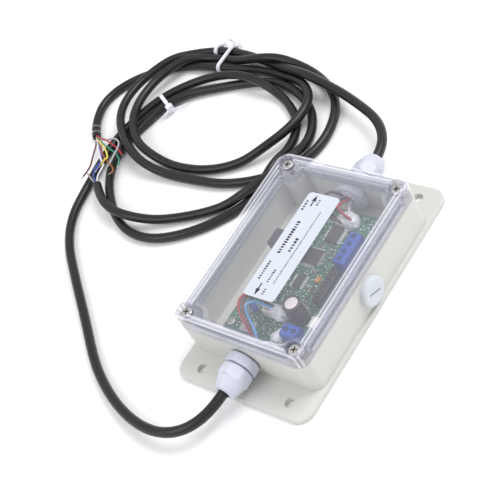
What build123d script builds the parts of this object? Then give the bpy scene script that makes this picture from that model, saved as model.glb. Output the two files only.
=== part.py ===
from build123d import *
import math
import os

# A flanged wall box with a clear lid that holds a signal board, with one cable gland at each short end,
# a screw plug in one long side, and two cables that are loosely coiled together and tied.
# Millimetres. X runs along the box, the near gland at -X and the far gland at +X. The side plug faces -Y.
# Z is up. The origin is on the underside, at the centre of the four flange holes.

# ---- box
BOX_LENGTH = 120.0
BOX_WIDTH = 90.0
BASE_HEIGHT = 24.5
BOX_CORNER_R = 7.0
WALL = 3.2
FLOOR = 3.0
FLANGE_REACH = 19.0
FLANGE_RIM = 2.0
FLANGE_THICK = 3.0
FLANGE_CORNER_R = 9.0
FLANGE_CHAMFER = 0.5
FLANGE_HOLE_INSET_X = 8.75
FLANGE_HOLE_INSET_Y = 15.5
FLANGE_HOLE_R = 2.9
POST_R = 7.4
PILOT_R = 1.65
PILOT_DEPTH = 15.0
SCREW_INSET_X = 6.5
SCREW_INSET_Y = 7.0
LIP_THICK = 1.2
LIP_HEIGHT = 1.6
LIP_PLAY = 0.2

# ---- lid
LID_HEIGHT = 10.5
LID_TOP = 2.4
LID_SKIRT = 2.6
LID_EDGE_FILLET = 1.0
LID_GROOVE = 1.6
GASKET_PLAY = 0.1
GROOVE_DEPTH = 2.8
RIB_THICK = 2.2
RIB_BLOCK = 1.7
WELL_R = 4.6
WELL_COLUMN_R = 5.6
COLUMN_SKIN = 0.3
WELL_DEPTH = 4.4
SCREW_HEAD_R = 3.5
SCREW_HEAD_HEIGHT = 2.2
SCREW_SHANK_R = 1.6
SCREW_REACH = 18.0
CROSS_WIDTH = 0.9
CROSS_LENGTH = 3.8
CROSS_DEPTH = 1.1
CROSS_TURN = 20.0
SCREW_CROWN = 0.9
LABEL_LENGTH = 71.5
LABEL_WIDTH = 21.5
LABEL_THICK = 0.2
LABEL_X = 2.0
LABEL_Y = -1.0
LABEL_CORNER_R = 2.5
BAND_CORNER_R = 1.5

# ---- openings for the glands and the plug
PORT_Z = 14.0
PORT_PLAY = 0.2
THREAD_R = 6.2
WASHER_R = 8.6
WASHER_THICK = 1.0
NUT_ACROSS_FLATS = 18.0
NUT_THICK = 5.0

# ---- gland
COLLAR_ACROSS_FLATS = 17.0
COLLAR_THICK = 5.6
COLLAR_ROUNDING = 0.9
GLAND_TAIL = 9.0
GLAND_NECK = 8.6
GLAND_BORE_PLAY = 0.5
CAP_ACROSS_FLATS = 16.4
CAP_GAP = 0.9
CAP_LENGTH = 15.0
CAP_HEX_LENGTH = 7.4
CAP_MOUTH_R = 4.7
CAP_WALL = 1.9
SEAL_WALL = 2.1
SEAL_LENGTH = 5.5
HEX_CORNER = 0.8
RUNNING_FIT = 0.08
SLIP_FIT = 0.05

# ---- side plug
PLUG_HEAD_R = 8.6
PLUG_HEAD_THICK = 3.6
PLUG_EDGE = 1.4
PLUG_SHANK = 8.0
SLOT_LENGTH = 9.0
SLOT_WIDTH = 1.1
SLOT_DEPTH = 1.2
SLOT_TURN = -25.0
SEAL_RING_WIDTH = 1.8
SEAL_RING_THICK = 1.44
PLUG_NUT_THICK = 4.0

# ---- circuit board
BOARD_GAP_X = 10.8
BOARD_GAP_Y = 10.05
BOARD_THICK = 1.6
BOARD_X = 1.0
BOARD_Y = -1.25
STANDOFF_HEIGHT = 5.0
STANDOFF_R = 3.2
BOARD_HOLE_INSET = 4.0
BOARD_HOLE_R = 1.6
BOARD_SCREW_HEAD_R = 2.7
BOARD_SCREW_HEAD = 1.7
BOARD_SCREW_SHANK_R = 1.2
BOARD_SCREW_REACH = 6.0
TERMINAL_LENGTH = 10.2
TERMINAL_DEPTH = 8.0
TERMINAL_HEIGHT = 10.0
TERMINAL_PITCH = 5.0
TERMINAL_HOLE_R = 1.75
TERMINAL_SEAT = 5.2
TERMINAL_SCREW_R = 1.6
PIN_R = 0.45
PIN_REACH = 3.2
PIN_PLAY = 0.1
CAPACITOR_R = 5.4
CAPACITOR_HEIGHT = 16.0
SOCKET_WAYS = 8
SOCKET_PITCH = 2.54
STRIP_X = -6.2

# ---- cables
CABLE_R = 3.0
CORE_R = 0.65
CABLE_LEAD = 10.0
JACKET_REACH = 6.0
COIL_HEIGHT = 11.0
TIE_WIDTH = 2.6
TIE_THICK = 1.0
TIE_HEAD = 5.0

CORNER_SIGNS = [(-1, -1), (1, -1), (1, 1), (-1, 1)]
BOARD_TOP = FLOOR + STANDOFF_HEIGHT + BOARD_THICK
LID_TOP_Z = BASE_HEIGHT + LID_HEIGHT
SEAT_Z = LID_TOP_Z - WELL_DEPTH
CAVITY_LENGTH = BOX_LENGTH - 2 * WALL
CAVITY_WIDTH = BOX_WIDTH - 2 * WALL
CAVITY_CORNER_R = BOX_CORNER_R - WALL
SCREW_SPACING_X = BOX_LENGTH - 2 * SCREW_INSET_X
SCREW_SPACING_Y = BOX_WIDTH - 2 * SCREW_INSET_Y
FLANGE_LENGTH = BOX_LENGTH + 2 * FLANGE_REACH
FLANGE_WIDTH = BOX_WIDTH + 2 * FLANGE_RIM
BOARD_LENGTH = CAVITY_LENGTH - 2 * BOARD_GAP_X
BOARD_WIDTH = CAVITY_WIDTH - 2 * BOARD_GAP_Y
NEAR_EDGE = BOARD_X - BOARD_LENGTH / 2
FAR_EDGE = BOARD_X + BOARD_LENGTH / 2
SIDE_EDGE = BOARD_Y - BOARD_WIDTH / 2
BACK_EDGE = BOARD_Y + BOARD_WIDTH / 2
PORT_R = THREAD_R + PORT_PLAY
SEAL_OUTER_R = CABLE_R + SEAL_WALL
COLLAR_FACE = BOX_LENGTH / 2 + WASHER_THICK + COLLAR_THICK
CAP_START = COLLAR_FACE + CAP_GAP
CAP_END = CAP_START + CAP_LENGTH
CABLE_START = BOX_LENGTH / 2 + CABLE_LEAD
JACKET_END = BOX_LENGTH / 2 - JACKET_REACH


def rounded_block(length, width, height, corner, z=0.0):
    """A block with rounded upright corners, its underside at z."""
    outline = RectangleRounded(length, width, corner)
    return Pos(0, 0, z) * extrude(outline, height)


def corner_places(spacing_x, spacing_y):
    """The four corners of a rectangle of places."""
    return [Pos(side_x * spacing_x / 2, side_y * spacing_y / 2, 0) for side_x, side_y in CORNER_SIGNS]


def screw_places():
    return corner_places(SCREW_SPACING_X, SCREW_SPACING_Y)


def upright(radius, bottom, top):
    """A round bar between two heights."""
    return Pos(0, 0, bottom) * Cylinder(radius, top - bottom, align=(Align.CENTER, Align.CENTER, Align.MIN))


def along_x(radius, start, end):
    """A round bar on the gland axis, from one X to another."""
    low = min(start, end)
    bar = Cylinder(radius, abs(end - start), align=(Align.CENTER, Align.CENTER, Align.MIN))
    return Pos(low, 0, PORT_Z) * Rot(0, 90, 0) * bar


def hex_along_x(across_flats, start, end):
    """A hexagonal bar on the gland axis, a flat at the top."""
    low = min(start, end)
    outline = RegularPolygon(across_flats / 2, 6, major_radius=False)
    return Pos(low, 0, PORT_Z) * Rot(0, 90, 0) * extrude(outline, abs(end - start))


def ring_along_x(outer, inner, start, end):
    return along_x(outer, start, end) - along_x(inner, start - 1, end + 1)


def far_end(solid):
    """The same piece turned half round to the far end of the box."""
    return Rot(0, 0, 180) * solid


# ---- box

def flange():
    plate = rounded_block(FLANGE_LENGTH, FLANGE_WIDTH, FLANGE_THICK, FLANGE_CORNER_R)
    plate = chamfer(plate.faces().sort_by(Axis.Z)[-1].outer_wire().edges(), FLANGE_CHAMFER)
    spacing_x = FLANGE_LENGTH - 2 * FLANGE_HOLE_INSET_X
    spacing_y = FLANGE_WIDTH - 2 * FLANGE_HOLE_INSET_Y
    for place in corner_places(spacing_x, spacing_y):
        plate -= place * upright(FLANGE_HOLE_R, -1, FLANGE_THICK + 1)
    return plate


def port_cuts():
    """The two round holes for the glands and the one for the side plug."""
    through = along_x(PORT_R, -BOX_LENGTH, BOX_LENGTH)
    return through + on_side(upright(PORT_R, -2 * WALL, WALL))


def seal_ring(inset, width, bottom, height):
    """A flat band that follows the walls and passes inside the four screw columns."""
    length = CAVITY_LENGTH + 2 * LIP_THICK + 2 * LIP_PLAY - 2 * inset
    across = CAVITY_WIDTH + 2 * LIP_THICK + 2 * LIP_PLAY - 2 * inset
    bite = WELL_COLUMN_R + COLUMN_SKIN + inset
    outer = rounded_block(length, across, height, BAND_CORNER_R, bottom) - corner_bites(bite)
    inner = rounded_block(length - 2 * width, across - 2 * width, height, BAND_CORNER_R, bottom)
    return outer - (inner - corner_bites(bite + width))


def corner_bites(radius):
    """The four corners of the box, each cut off by a round step about its screw column."""
    bites = []
    for side_x, side_y in CORNER_SIGNS:
        centre = Pos(side_x * SCREW_SPACING_X / 2, side_y * SCREW_SPACING_Y / 2, BASE_HEIGHT)
        bites.append(centre * Cylinder(radius, BASE_HEIGHT))
        across = Pos(side_x * BOX_CORNER_R, side_y * (BOX_CORNER_R - radius / 2), 0)
        bites.append(centre * across * Box(2 * BOX_CORNER_R, 2 * BOX_CORNER_R + radius, BASE_HEIGHT))
        along = Pos(side_x * (BOX_CORNER_R - radius / 2), side_y * BOX_CORNER_R, 0)
        bites.append(centre * along * Box(2 * BOX_CORNER_R + radius, 2 * BOX_CORNER_R, BASE_HEIGHT))
    return bites


def enclosure_base():
    body = flange() + rounded_block(BOX_LENGTH, BOX_WIDTH, BASE_HEIGHT, BOX_CORNER_R)
    body -= rounded_block(CAVITY_LENGTH, CAVITY_WIDTH, BASE_HEIGHT, CAVITY_CORNER_R, FLOOR)
    inside = rounded_block(BOX_LENGTH - WALL, BOX_WIDTH - WALL, BASE_HEIGHT, BOX_CORNER_R - WALL / 2)
    posts = [p * upright(POST_R, FLOOR, BASE_HEIGHT) & inside for p in screw_places()]
    standoffs = [p * upright(STANDOFF_R, FLOOR, FLOOR + STANDOFF_HEIGHT) for p in board_holes()]
    body = body + posts + standoffs + seal_ring(LIP_PLAY, LIP_THICK, BASE_HEIGHT, LIP_HEIGHT)
    pilots = [p * upright(PILOT_R, BASE_HEIGHT - PILOT_DEPTH, LID_TOP_Z) for p in screw_places()]
    pilot_end = BOARD_TOP - BOARD_SCREW_REACH
    board_pilots = [p * upright(BOARD_SCREW_SHANK_R, pilot_end, BOARD_TOP) for p in board_holes()]
    return body - pilots - board_pilots - port_cuts()


def clear_lid():
    block = rounded_block(BOX_LENGTH, BOX_WIDTH, LID_HEIGHT, BOX_CORNER_R, BASE_HEIGHT)
    block = fillet(block.faces().sort_by(Axis.Z)[-1].edges(), LID_EDGE_FILLET)
    block -= rounded_block(
        BOX_LENGTH - 2 * LID_SKIRT, BOX_WIDTH - 2 * LID_SKIRT, LID_HEIGHT - LID_TOP,
        BOX_CORNER_R - LID_SKIRT, BASE_HEIGHT,
    )
    block = block + lid_rib() + lid_columns()
    block -= seal_ring(0, LID_GROOVE, BASE_HEIGHT, GROOVE_DEPTH)
    return block - lid_holes()


def lid_rib():
    """The inner band that keeps the seal in place, joined to the skirt above the groove."""
    reach = LID_GROOVE + RIB_THICK
    band = seal_ring(0, reach, BASE_HEIGHT, GROOVE_DEPTH + RIB_BLOCK)
    height = GROOVE_DEPTH + RIB_BLOCK
    edge = rounded_block(
        BOX_LENGTH - LID_SKIRT, BOX_WIDTH - LID_SKIRT, height, BOX_CORNER_R - LID_SKIRT / 2, BASE_HEIGHT,
    )
    hollow = rounded_block(
        CAVITY_LENGTH + LIP_THICK, CAVITY_WIDTH + LIP_THICK, height, BAND_CORNER_R, BASE_HEIGHT,
    )
    return band + (edge - hollow)


def lid_columns():
    limit = rounded_block(
        BOX_LENGTH - 1, BOX_WIDTH - 1, LID_HEIGHT - LID_EDGE_FILLET, BOX_CORNER_R - 0.5, BASE_HEIGHT,
    )
    return [place * upright(WELL_COLUMN_R, BASE_HEIGHT, LID_TOP_Z) & limit for place in screw_places()]


def lid_holes():
    shanks = [p * upright(SCREW_SHANK_R + RUNNING_FIT, BASE_HEIGHT - 1, LID_TOP_Z) for p in screw_places()]
    wells = [p * upright(WELL_R, SEAT_Z, LID_TOP_Z + 1) for p in screw_places()]
    return shanks + wells


def lid_gasket():
    """The rubber seal, between the lip of the base and the roof of the groove."""
    width = LID_GROOVE - 2 * GASKET_PLAY
    return seal_ring(GASKET_PLAY, width, BASE_HEIGHT + LIP_HEIGHT, GROOVE_DEPTH - LIP_HEIGHT)


def lid_label():
    outline = RectangleRounded(LABEL_LENGTH, LABEL_WIDTH, LABEL_CORNER_R)
    return Pos(LABEL_X, LABEL_Y, LID_TOP_Z) * extrude(outline, LABEL_THICK)


def lid_screw(place):
    """A pan head screw with a cross recess, seated in its well."""
    head = upright(SCREW_HEAD_R, SEAT_Z, SEAT_Z + SCREW_HEAD_HEIGHT)
    head = fillet(head.faces().sort_by(Axis.Z)[-1].edges(), SCREW_CROWN)
    screw = head + upright(SCREW_SHANK_R, SEAT_Z - SCREW_REACH, SEAT_Z)
    recess_z = SEAT_Z + SCREW_HEAD_HEIGHT
    for turn in (CROSS_TURN, CROSS_TURN + 90):
        slot = Box(CROSS_LENGTH, CROSS_WIDTH, 2 * CROSS_DEPTH)
        screw -= Pos(0, 0, recess_z) * Rot(0, 0, turn) * slot
    return place * screw


# ---- glands, drawn at the near end

def gland_washer():
    wall_face = -BOX_LENGTH / 2
    return ring_along_x(WASHER_R, THREAD_R + SLIP_FIT, wall_face - WASHER_THICK, wall_face)


def gland_body():
    """Hexagonal collar, the threaded tail through the wall and the threaded neck under the cap nut."""
    wall_face = -BOX_LENGTH / 2
    collar = hex_along_x(COLLAR_ACROSS_FLATS, -COLLAR_FACE, wall_face - WASHER_THICK)
    blank = along_x(COLLAR_ACROSS_FLATS / 2 + HEX_CORNER, -COLLAR_FACE, wall_face - WASHER_THICK)
    collar = collar & fillet(blank.edges().filter_by(GeomType.CIRCLE), COLLAR_ROUNDING)
    tail = along_x(THREAD_R, wall_face - WASHER_THICK, wall_face + GLAND_TAIL)
    neck = along_x(neck_radius(), -COLLAR_FACE - GLAND_NECK, -COLLAR_FACE)
    bore = along_x(CABLE_R + GLAND_BORE_PLAY, -CAP_END, wall_face + GLAND_TAIL + 1)
    mouth = -COLLAR_FACE - GLAND_NECK
    seat = along_x(SEAL_OUTER_R + SLIP_FIT, mouth - 1, mouth + SEAL_LENGTH)
    return collar + tail + neck - bore - seat


def neck_radius():
    return CAP_ACROSS_FLATS / 2 - CAP_WALL


def gland_seal():
    """The rubber sleeve that grips the cable."""
    start = -COLLAR_FACE - GLAND_NECK
    return ring_along_x(SEAL_OUTER_R, CABLE_R + SLIP_FIT, start, start + SEAL_LENGTH)


def gland_cap():
    """The cap nut: a hexagon that runs into a round tapered nose."""
    hexagon = hex_along_x(CAP_ACROSS_FLATS, -CAP_START - CAP_HEX_LENGTH, -CAP_START)
    blank = along_x(CAP_ACROSS_FLATS / 2 + HEX_CORNER, -CAP_START - CAP_HEX_LENGTH, -CAP_START)
    hexagon = hexagon & chamfer(blank.edges().filter_by(GeomType.CIRCLE), HEX_CORNER)
    profile = [
        (CAP_START + CAP_HEX_LENGTH - 1.0, 0),
        (CAP_START + CAP_HEX_LENGTH - 1.0, CAP_ACROSS_FLATS / 2),
        (CAP_START + CAP_HEX_LENGTH + 1.2, CAP_ACROSS_FLATS / 2 - 0.3),
        (CAP_END - 3.2, CAP_MOUTH_R + 2.2),
        (CAP_END - 0.6, CAP_MOUTH_R + 0.7),
        (CAP_END, CAP_MOUTH_R - 0.1),
        (CAP_END, 0),
    ]
    nose_face = make_face(Polyline([(-x, PORT_Z + r) for x, r in profile], close=True))
    nose = revolve(Plane.XZ * nose_face, Axis((0, 0, PORT_Z), (1, 0, 0)), 360)
    thread = along_x(neck_radius() + RUNNING_FIT, -COLLAR_FACE - GLAND_NECK - 0.4, -CAP_START + 1)
    mouth = along_x(CABLE_R + GLAND_BORE_PLAY, -CAP_END - 1, -CAP_START)
    return hexagon + nose - thread - mouth


def gland_locknut():
    inner_face = -BOX_LENGTH / 2 + WALL
    nut = hex_along_x(NUT_ACROSS_FLATS, inner_face, inner_face + NUT_THICK)
    blank = along_x(NUT_ACROSS_FLATS / 2 + HEX_CORNER, inner_face, inner_face + NUT_THICK)
    nut = nut & chamfer(blank.edges().filter_by(GeomType.CIRCLE), HEX_CORNER)
    return nut - along_x(THREAD_R + SLIP_FIT, inner_face - 1, inner_face + NUT_THICK + 1)


# ---- side plug, drawn upright and turned to face -Y

def on_side(solid):
    """Lays an upright piece on the side wall, its Z=0 plane on the wall's outer face."""
    return Pos(0, -BOX_WIDTH / 2, PORT_Z) * Rot(90, 0, 0) * solid


def side_plug():
    head = upright(PLUG_HEAD_R, 0, PLUG_HEAD_THICK)
    head = fillet(head.faces().sort_by(Axis.Z)[-1].edges(), PLUG_EDGE)
    groove = upright(THREAD_R + SEAL_RING_WIDTH + 2 * SLIP_FIT, -1, SEAL_RING_THICK)
    slot = Pos(0, 0, PLUG_HEAD_THICK) * Rot(0, 0, SLOT_TURN) * Box(SLOT_LENGTH, SLOT_WIDTH, 2 * SLOT_DEPTH)
    shank = upright(THREAD_R, -PLUG_SHANK, SEAL_RING_THICK)
    return on_side(head - groove - slot + shank)


def side_plug_seal():
    """The flat seal in the groove under the plug's head."""
    ring = upright(THREAD_R + SEAL_RING_WIDTH, 0, SEAL_RING_THICK - SLIP_FIT)
    return on_side(ring - upright(THREAD_R + SLIP_FIT, -1, PLUG_HEAD_THICK))


def side_plug_locknut():
    outline = RegularPolygon(NUT_ACROSS_FLATS / 2, 6, major_radius=False)
    nut = Pos(0, 0, -WALL - PLUG_NUT_THICK) * extrude(outline, PLUG_NUT_THICK)
    return on_side(nut - upright(THREAD_R + RUNNING_FIT, -BOX_WIDTH / 2, 1))


# ---- board and its parts

def board_holes():
    spacing_x = BOARD_LENGTH - 2 * BOARD_HOLE_INSET
    spacing_y = BOARD_WIDTH - 2 * BOARD_HOLE_INSET
    return [Pos(BOARD_X, BOARD_Y, 0) * p for p in corner_places(spacing_x, spacing_y)]


def circuit_board():
    plate = Pos(BOARD_X, BOARD_Y, BOARD_TOP - BOARD_THICK / 2) * Box(BOARD_LENGTH, BOARD_WIDTH, BOARD_THICK)
    for place in board_holes():
        plate -= place * upright(BOARD_HOLE_R, 0, BOARD_TOP + 1)
    for x, y, turn in TERMINALS.values():
        for pin in terminal_pin_places(x, y, turn):
            plate -= pin * upright(PIN_R + PIN_PLAY, 0, BOARD_TOP + 1)
    return plate


def board_screws():
    screws = []
    for place in board_holes():
        head = upright(BOARD_SCREW_HEAD_R, BOARD_TOP, BOARD_TOP + BOARD_SCREW_HEAD)
        head = fillet(head.faces().sort_by(Axis.Z)[-1].edges(), 0.7)
        head -= Pos(0, 0, BOARD_TOP + BOARD_SCREW_HEAD) * Box(3.2, 0.7, 1.2)
        head -= Pos(0, 0, BOARD_TOP + BOARD_SCREW_HEAD) * Box(0.7, 3.2, 1.2)
        screws.append(place * (head + upright(BOARD_SCREW_SHANK_R, BOARD_TOP - BOARD_SCREW_REACH, BOARD_TOP)))
    return Compound(children=screws)


def standing_box(x, y, length, width, height, edge=0.3):
    """A component body that stands on the board."""
    block = Pos(x, y, BOARD_TOP + height / 2) * Box(length, width, height)
    return chamfer(block.faces().sort_by(Axis.Z)[-1].edges(), edge)


# name: centre x, centre y, turn of the terminal block
TERMINALS = {
    "terminal_block_outer": (FAR_EDGE - 23.6, SIDE_EDGE + 12.4, 0.0),
    "terminal_block_inner": (FAR_EDGE - 34.0, SIDE_EDGE + 12.4, 0.0),
    "terminal_block_near": (NEAR_EDGE + 6.4, SIDE_EDGE + 14.4, -90.0),
}


def terminal_pin_places(x, y, turn):
    half = TERMINAL_PITCH / 2
    return [Pos(x, y, 0) * Rot(0, 0, turn) * Pos(s * half, 0, 0) for s in (-1, 1)]


def terminal_block(x, y, turn):
    """A two way screw terminal, its wire mouths on the side that faces -Y before it is turned."""
    body = Pos(0, 0, BOARD_TOP + TERMINAL_HEIGHT / 2) * Box(TERMINAL_LENGTH, TERMINAL_DEPTH, TERMINAL_HEIGHT)
    top_edges = body.faces().sort_by(Axis.Z)[-1].edges().filter_by(Axis.X)
    body = chamfer(top_edges, 1.2)
    for side in (-1, 1):
        x_way = side * TERMINAL_PITCH / 2
        body -= Pos(x_way, 0, 0) * upright(TERMINAL_HOLE_R, BOARD_TOP + TERMINAL_SEAT, LID_TOP_Z)
        body -= Pos(x_way, -TERMINAL_DEPTH / 2, BOARD_TOP + 2.9) * Box(2.8, 7.0, 3.2)
        body += Pos(x_way, 0, 0) * upright(PIN_R, BOARD_TOP - PIN_REACH, BOARD_TOP)
    return Pos(x, y, 0) * Rot(0, 0, turn) * body


def terminal_screws():
    """The clamp screws of all the terminal blocks."""
    screws = []
    top = BOARD_TOP + TERMINAL_HEIGHT - 0.8
    for x, y, turn in TERMINALS.values():
        for place in terminal_pin_places(x, y, turn):
            screw = upright(TERMINAL_SCREW_R, BOARD_TOP + TERMINAL_SEAT, top)
            screw -= Pos(0, 0, top) * Rot(0, 0, 35) * Box(4.0, 0.6, 1.2)
            screws.append(place * screw)
    return Compound(children=screws)


def leaded_chip(x, y, length, width, height, leads, pitch):
    """A chip body with gull wing leads along both long sides."""
    gap_under = 0.2
    chip = Pos(x, y, BOARD_TOP + gap_under + height / 2) * Box(length, width, height)
    shoulder = Pos(0, 0.3, height * 0.5) * Box(0.45, 1.0, 0.25)
    shin = Pos(0, 0.7, height * 0.3) * Box(0.45, 0.25, height * 0.5)
    foot = Pos(0, 1.1, 0.12) * Box(0.45, 1.0, 0.24)
    lead = Pos(0, width / 2, 0) * (shoulder + shin + foot)
    bars = []
    for i in range(leads):
        place = Pos(x + (i - (leads - 1) / 2) * pitch, y, BOARD_TOP)
        bars.append(place * lead)
        bars.append(place * Rot(0, 0, 180) * lead)
    return chip + bars


def quad_chip(x, y, side_length, height, leads, pitch):
    """A square chip with leads on all four sides."""
    chip = leaded_chip(0, 0, side_length, side_length, height, leads, pitch)
    return Pos(x, y, 0) * (chip + Rot(0, 0, 90) * chip)


def electrolytic_capacitor():
    can = upright(CAPACITOR_R, BOARD_TOP, BOARD_TOP + CAPACITOR_HEIGHT)
    can = fillet(can.edges().filter_by(GeomType.CIRCLE), 0.8)
    can -= upright(CAPACITOR_R * 0.74, BOARD_TOP + CAPACITOR_HEIGHT - 0.35, BOARD_TOP + CAPACITOR_HEIGHT + 1)
    return Pos(NEAR_EDGE + 19.0, SIDE_EDGE + 19.0, 0) * can


def socket_strip():
    """The long black socket strip beside the terminal blocks."""
    y = SIDE_EDGE + 11.6
    body = standing_box(STRIP_X, y, 21.0, 6.0, 8.8)
    for i in range(SOCKET_WAYS):
        x = STRIP_X + (i - (SOCKET_WAYS - 1) / 2) * SOCKET_PITCH
        body -= Pos(x, y, BOARD_TOP + 8.0) * Box(1.0, 2.6, 4.0)
    return body


def wire_connector():
    """A four way wire to board housing with an open top."""
    x = NEAR_EDGE + 17.0
    body = standing_box(x, 1.0, 6.4, 15.0, 6.6)
    return body - Pos(x, 1.0, BOARD_TOP + 5.2) * Box(4.2, 12.8, 4.0)


def varistor():
    """A blue coated disc that stands on its edge."""
    disc = Cylinder(4.2, 3.4)
    disc = fillet(disc.edges().filter_by(GeomType.CIRCLE), 1.2)
    legs = Part()
    for side in (-1, 1):
        legs += Pos(side * 2.5, 0, 0) * upright(0.35, BOARD_TOP, BOARD_TOP + 3.0)
    standing = Pos(0, 0, BOARD_TOP + 5.6) * Rot(90, 0, 0) * disc + legs
    return Pos(NEAR_EDGE + 15.0, 15.6, 0) * Rot(0, 0, 65) * standing


def inductor():
    return standing_box(13.6, BACK_EDGE - 3.9, 11.0, 6.4, 10.0, 0.8)


def tantalum():
    return standing_box(-1.0, -9.4, 3.6, 2.8, 2.0)


def small_connector():
    """The small white two way plug between the capacitor and the board's edge."""
    return standing_box(NEAR_EDGE + 17.5, SIDE_EDGE + 8.0, 7.0, 5.0, 4.6)


def chip_resistors():
    """Rows of small surface mounted parts between the chips."""
    across = Box(2.2, 1.2, 0.6)
    along = Box(1.2, 2.2, 0.6)
    z = BOARD_TOP + 0.3
    parts = [Pos(-16.5 + i * 2.4, -14.0 + j * 4.6, z) * along for i in range(5) for j in range(2)]
    parts += [Pos(3.0 + i * 3.1, y, z) * along for i in range(6) for y in (-12.6, 13.0)]
    parts += [Pos(FAR_EDGE - 14.0 + i * 2.6, SIDE_EDGE + 9.0, z) * along for i in range(4)]
    parts += [Pos(-20.0 + i * 3.0, 21.0, z) * across for i in range(4)]
    return Compound(children=parts)


def board_sticker():
    return Pos(NEAR_EDGE + 5.0, 15.0, BOARD_TOP + 0.1) * Box(7.0, 9.0, 0.2)


def glue_lump(x, y, radii, height):
    """A lump of set hot melt glue, flat underneath."""
    rx, ry = radii
    outline = Pos(x, y, BOARD_TOP) * Ellipse(rx, ry)
    return extrude(outline, height, taper=24)


# ---- cables and wires

def wire_path(points):
    """Straight runs joined by tangent arcs, each arc as large as its two runs allow."""
    vectors = [Vector(*p) for p in points]
    radii = []
    for before, here, after in zip(vectors, vectors[1:], vectors[2:]):
        shorter = min((here - before).length, (after - here).length)
        half_turn = math.radians((here - before).get_angle(after - here)) / 2
        radii.append(0.45 * shorter / math.tan(half_turn))
    return FilletPolyline(*vectors, radius=radii), radii


def tube(points, radius, name=None):
    path, radii = wire_path(points)
    section = Plane(origin=path @ 0, z_dir=path % 0) * Circle(radius)
    solid = sweep(section, path=path)
    if name:
        print(name, "length", round(path.length, 1), "smallest radius", round(min(radii), 1))
        print("   radii", [round(r) for r in radii])
        section_area = math.pi * radius ** 2
        print("   volume", round(solid.volume), "section x length", round(section_area * path.length))
    return solid


# Straight out of the near gland, down to the floor, and round in one wide bend into the coil.
NEAR_ROUTE = [
    (-CABLE_START, 0, PORT_Z), (-85, 0, PORT_Z), (-99, 3.4, 13.4), (-110.5, 11.5, 12), (-117, 24, 9.8),
    (-118.5, 39, 7.8), (-115, 57, 5.8), (-106.5, 78, 4.2), (-92, 102, 3.3), (-70, 129, 3.1),
    (-46, 160, 3.1), (-24, 187, 3.1), (-3, 201, 3.1), (20, 206, 3.1),
]

# Out of the far gland and over the outermost turn of its own coil.
FAR_ROUTE = [
    (CABLE_START, 0, PORT_Z), (85, 0, PORT_Z), (99, 5, 13.6), (111, 17, 12.6), (120, 35, 11.2),
    (128, 55, 10.4), (133, 73, 11),
]

# The outline of the loose coil that both cables lie in, and of the three gaps that its turns leave.
COIL_OUTLINE = [
    (85, 46), (105, 46), (127, 55), (146, 77), (155, 106), (157, 140), (157, 172), (152, 196),
    (138, 220), (122, 241), (98, 253), (76, 251), (60, 240), (48, 220), (16, 208), (-3, 188),
    (-10, 152), (-9, 122), (7, 93), (32, 69), (58, 55),
]
COIL_GAPS = [
    [(66, 158), (61, 128), (70, 104), (96, 97), (115, 104), (121, 134), (108, 166), (84, 177)],
    [(28, 114), (41, 122), (43, 158), (37, 184), (22, 172), (18, 140)],
    [(98, 205), (116, 197), (131, 184), (139, 184), (132, 200), (114, 211)],
]


def cable_coil():
    """The outer shape of the loose turns of both cables, tied together."""
    coil = extrude(make_face(Spline(*COIL_OUTLINE, periodic=True)), COIL_HEIGHT)
    for gap in COIL_GAPS:
        coil -= Pos(0, 0, -1) * extrude(make_face(Spline(*gap, periodic=True)), COIL_HEIGHT + 2)
    return coil


def cable_tie(x, y, turn, width, height, head_side):
    """A strap round a bundle, its ratchet head on one side."""
    outer = RectangleRounded(width + 2 * TIE_THICK, height + 2 * TIE_THICK, 3.2 + TIE_THICK)
    inner = RectangleRounded(width, height, 3.2)
    strap = Rot(90, 0, 0) * extrude(outer - inner, TIE_WIDTH / 2, both=True)
    head = Pos(head_side * (width / 2 + TIE_THICK + 1.2), 0, 0) * Box(3.4, TIE_HEAD, TIE_HEAD)
    return Pos(x, y, height / 2 + TIE_THICK) * Rot(0, 0, turn) * (strap + head)


def jacket_end():
    """The end of a cable's jacket, in the bore of the near gland."""
    return along_x(CABLE_R, -CABLE_START, -JACKET_END)


def core_bundle(routes):
    return Compound(children=[tube(route, CORE_R) for route in routes])


# Each core goes from the cut end of the jacket to its terminal or plug.
NEAR_CORES = [
    [(-53.8, 1.4, 15), (-49, 2.4, 15.6), (-44, 8, 18), (-38, 18, 20.5), (-30, 22.5, 21),
     (-24, 17, 20.5), (-24.5, 9, 18.5), (-28, 5.6, 16.5), (-28, 5.5, 13)],
    [(-53.8, -0.2, 15.6), (-49, 0.6, 16.4), (-44, 5, 20), (-37, 15, 22), (-30, 18.8, 22.4),
     (-26.2, 13, 21.8), (-27, 6, 19.6), (-28, 2.8, 17), (-28, 2.5, 13)],
    [(-53.8, -1.6, 14.4), (-49, -1.2, 15.2), (-44, 0, 18.5), (-38, 5.6, 19.5), (-32, 5, 19.3),
     (-28.2, 0.4, 17.6), (-28, -0.4, 13)],
    [(-53.8, 0, 12.6), (-49.8, -1.4, 12.8), (-46.6, -5, 13.6), (-47, -11, 14.2), (-45.6, -16, 13),
     (-41.6, -16.1, 12.5)],
]
FAR_CORES = [
    [(53.8, 1.6, 14.8), (49.4, 2.2, 15.8), (45, 6, 19.4), (39, 8, 20), (35.6, 3, 17.6), (35.4, -3, 15.5)],
    [(53.8, -0.4, 15.6), (49.4, -0.6, 16.4), (45.5, -0.5, 19), (41.4, 1, 20), (39, -5, 17.5),
     (38.6, -9, 15.5)],
    [(53.8, 0, 12.6), (50, -1.4, 12.8), (47, -8, 15), (43.6, -17, 16.5), (35, -27.5, 13),
     (26.6, -28.2, 12.6), (25.9, -24.8, 12.5)],
]
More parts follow.
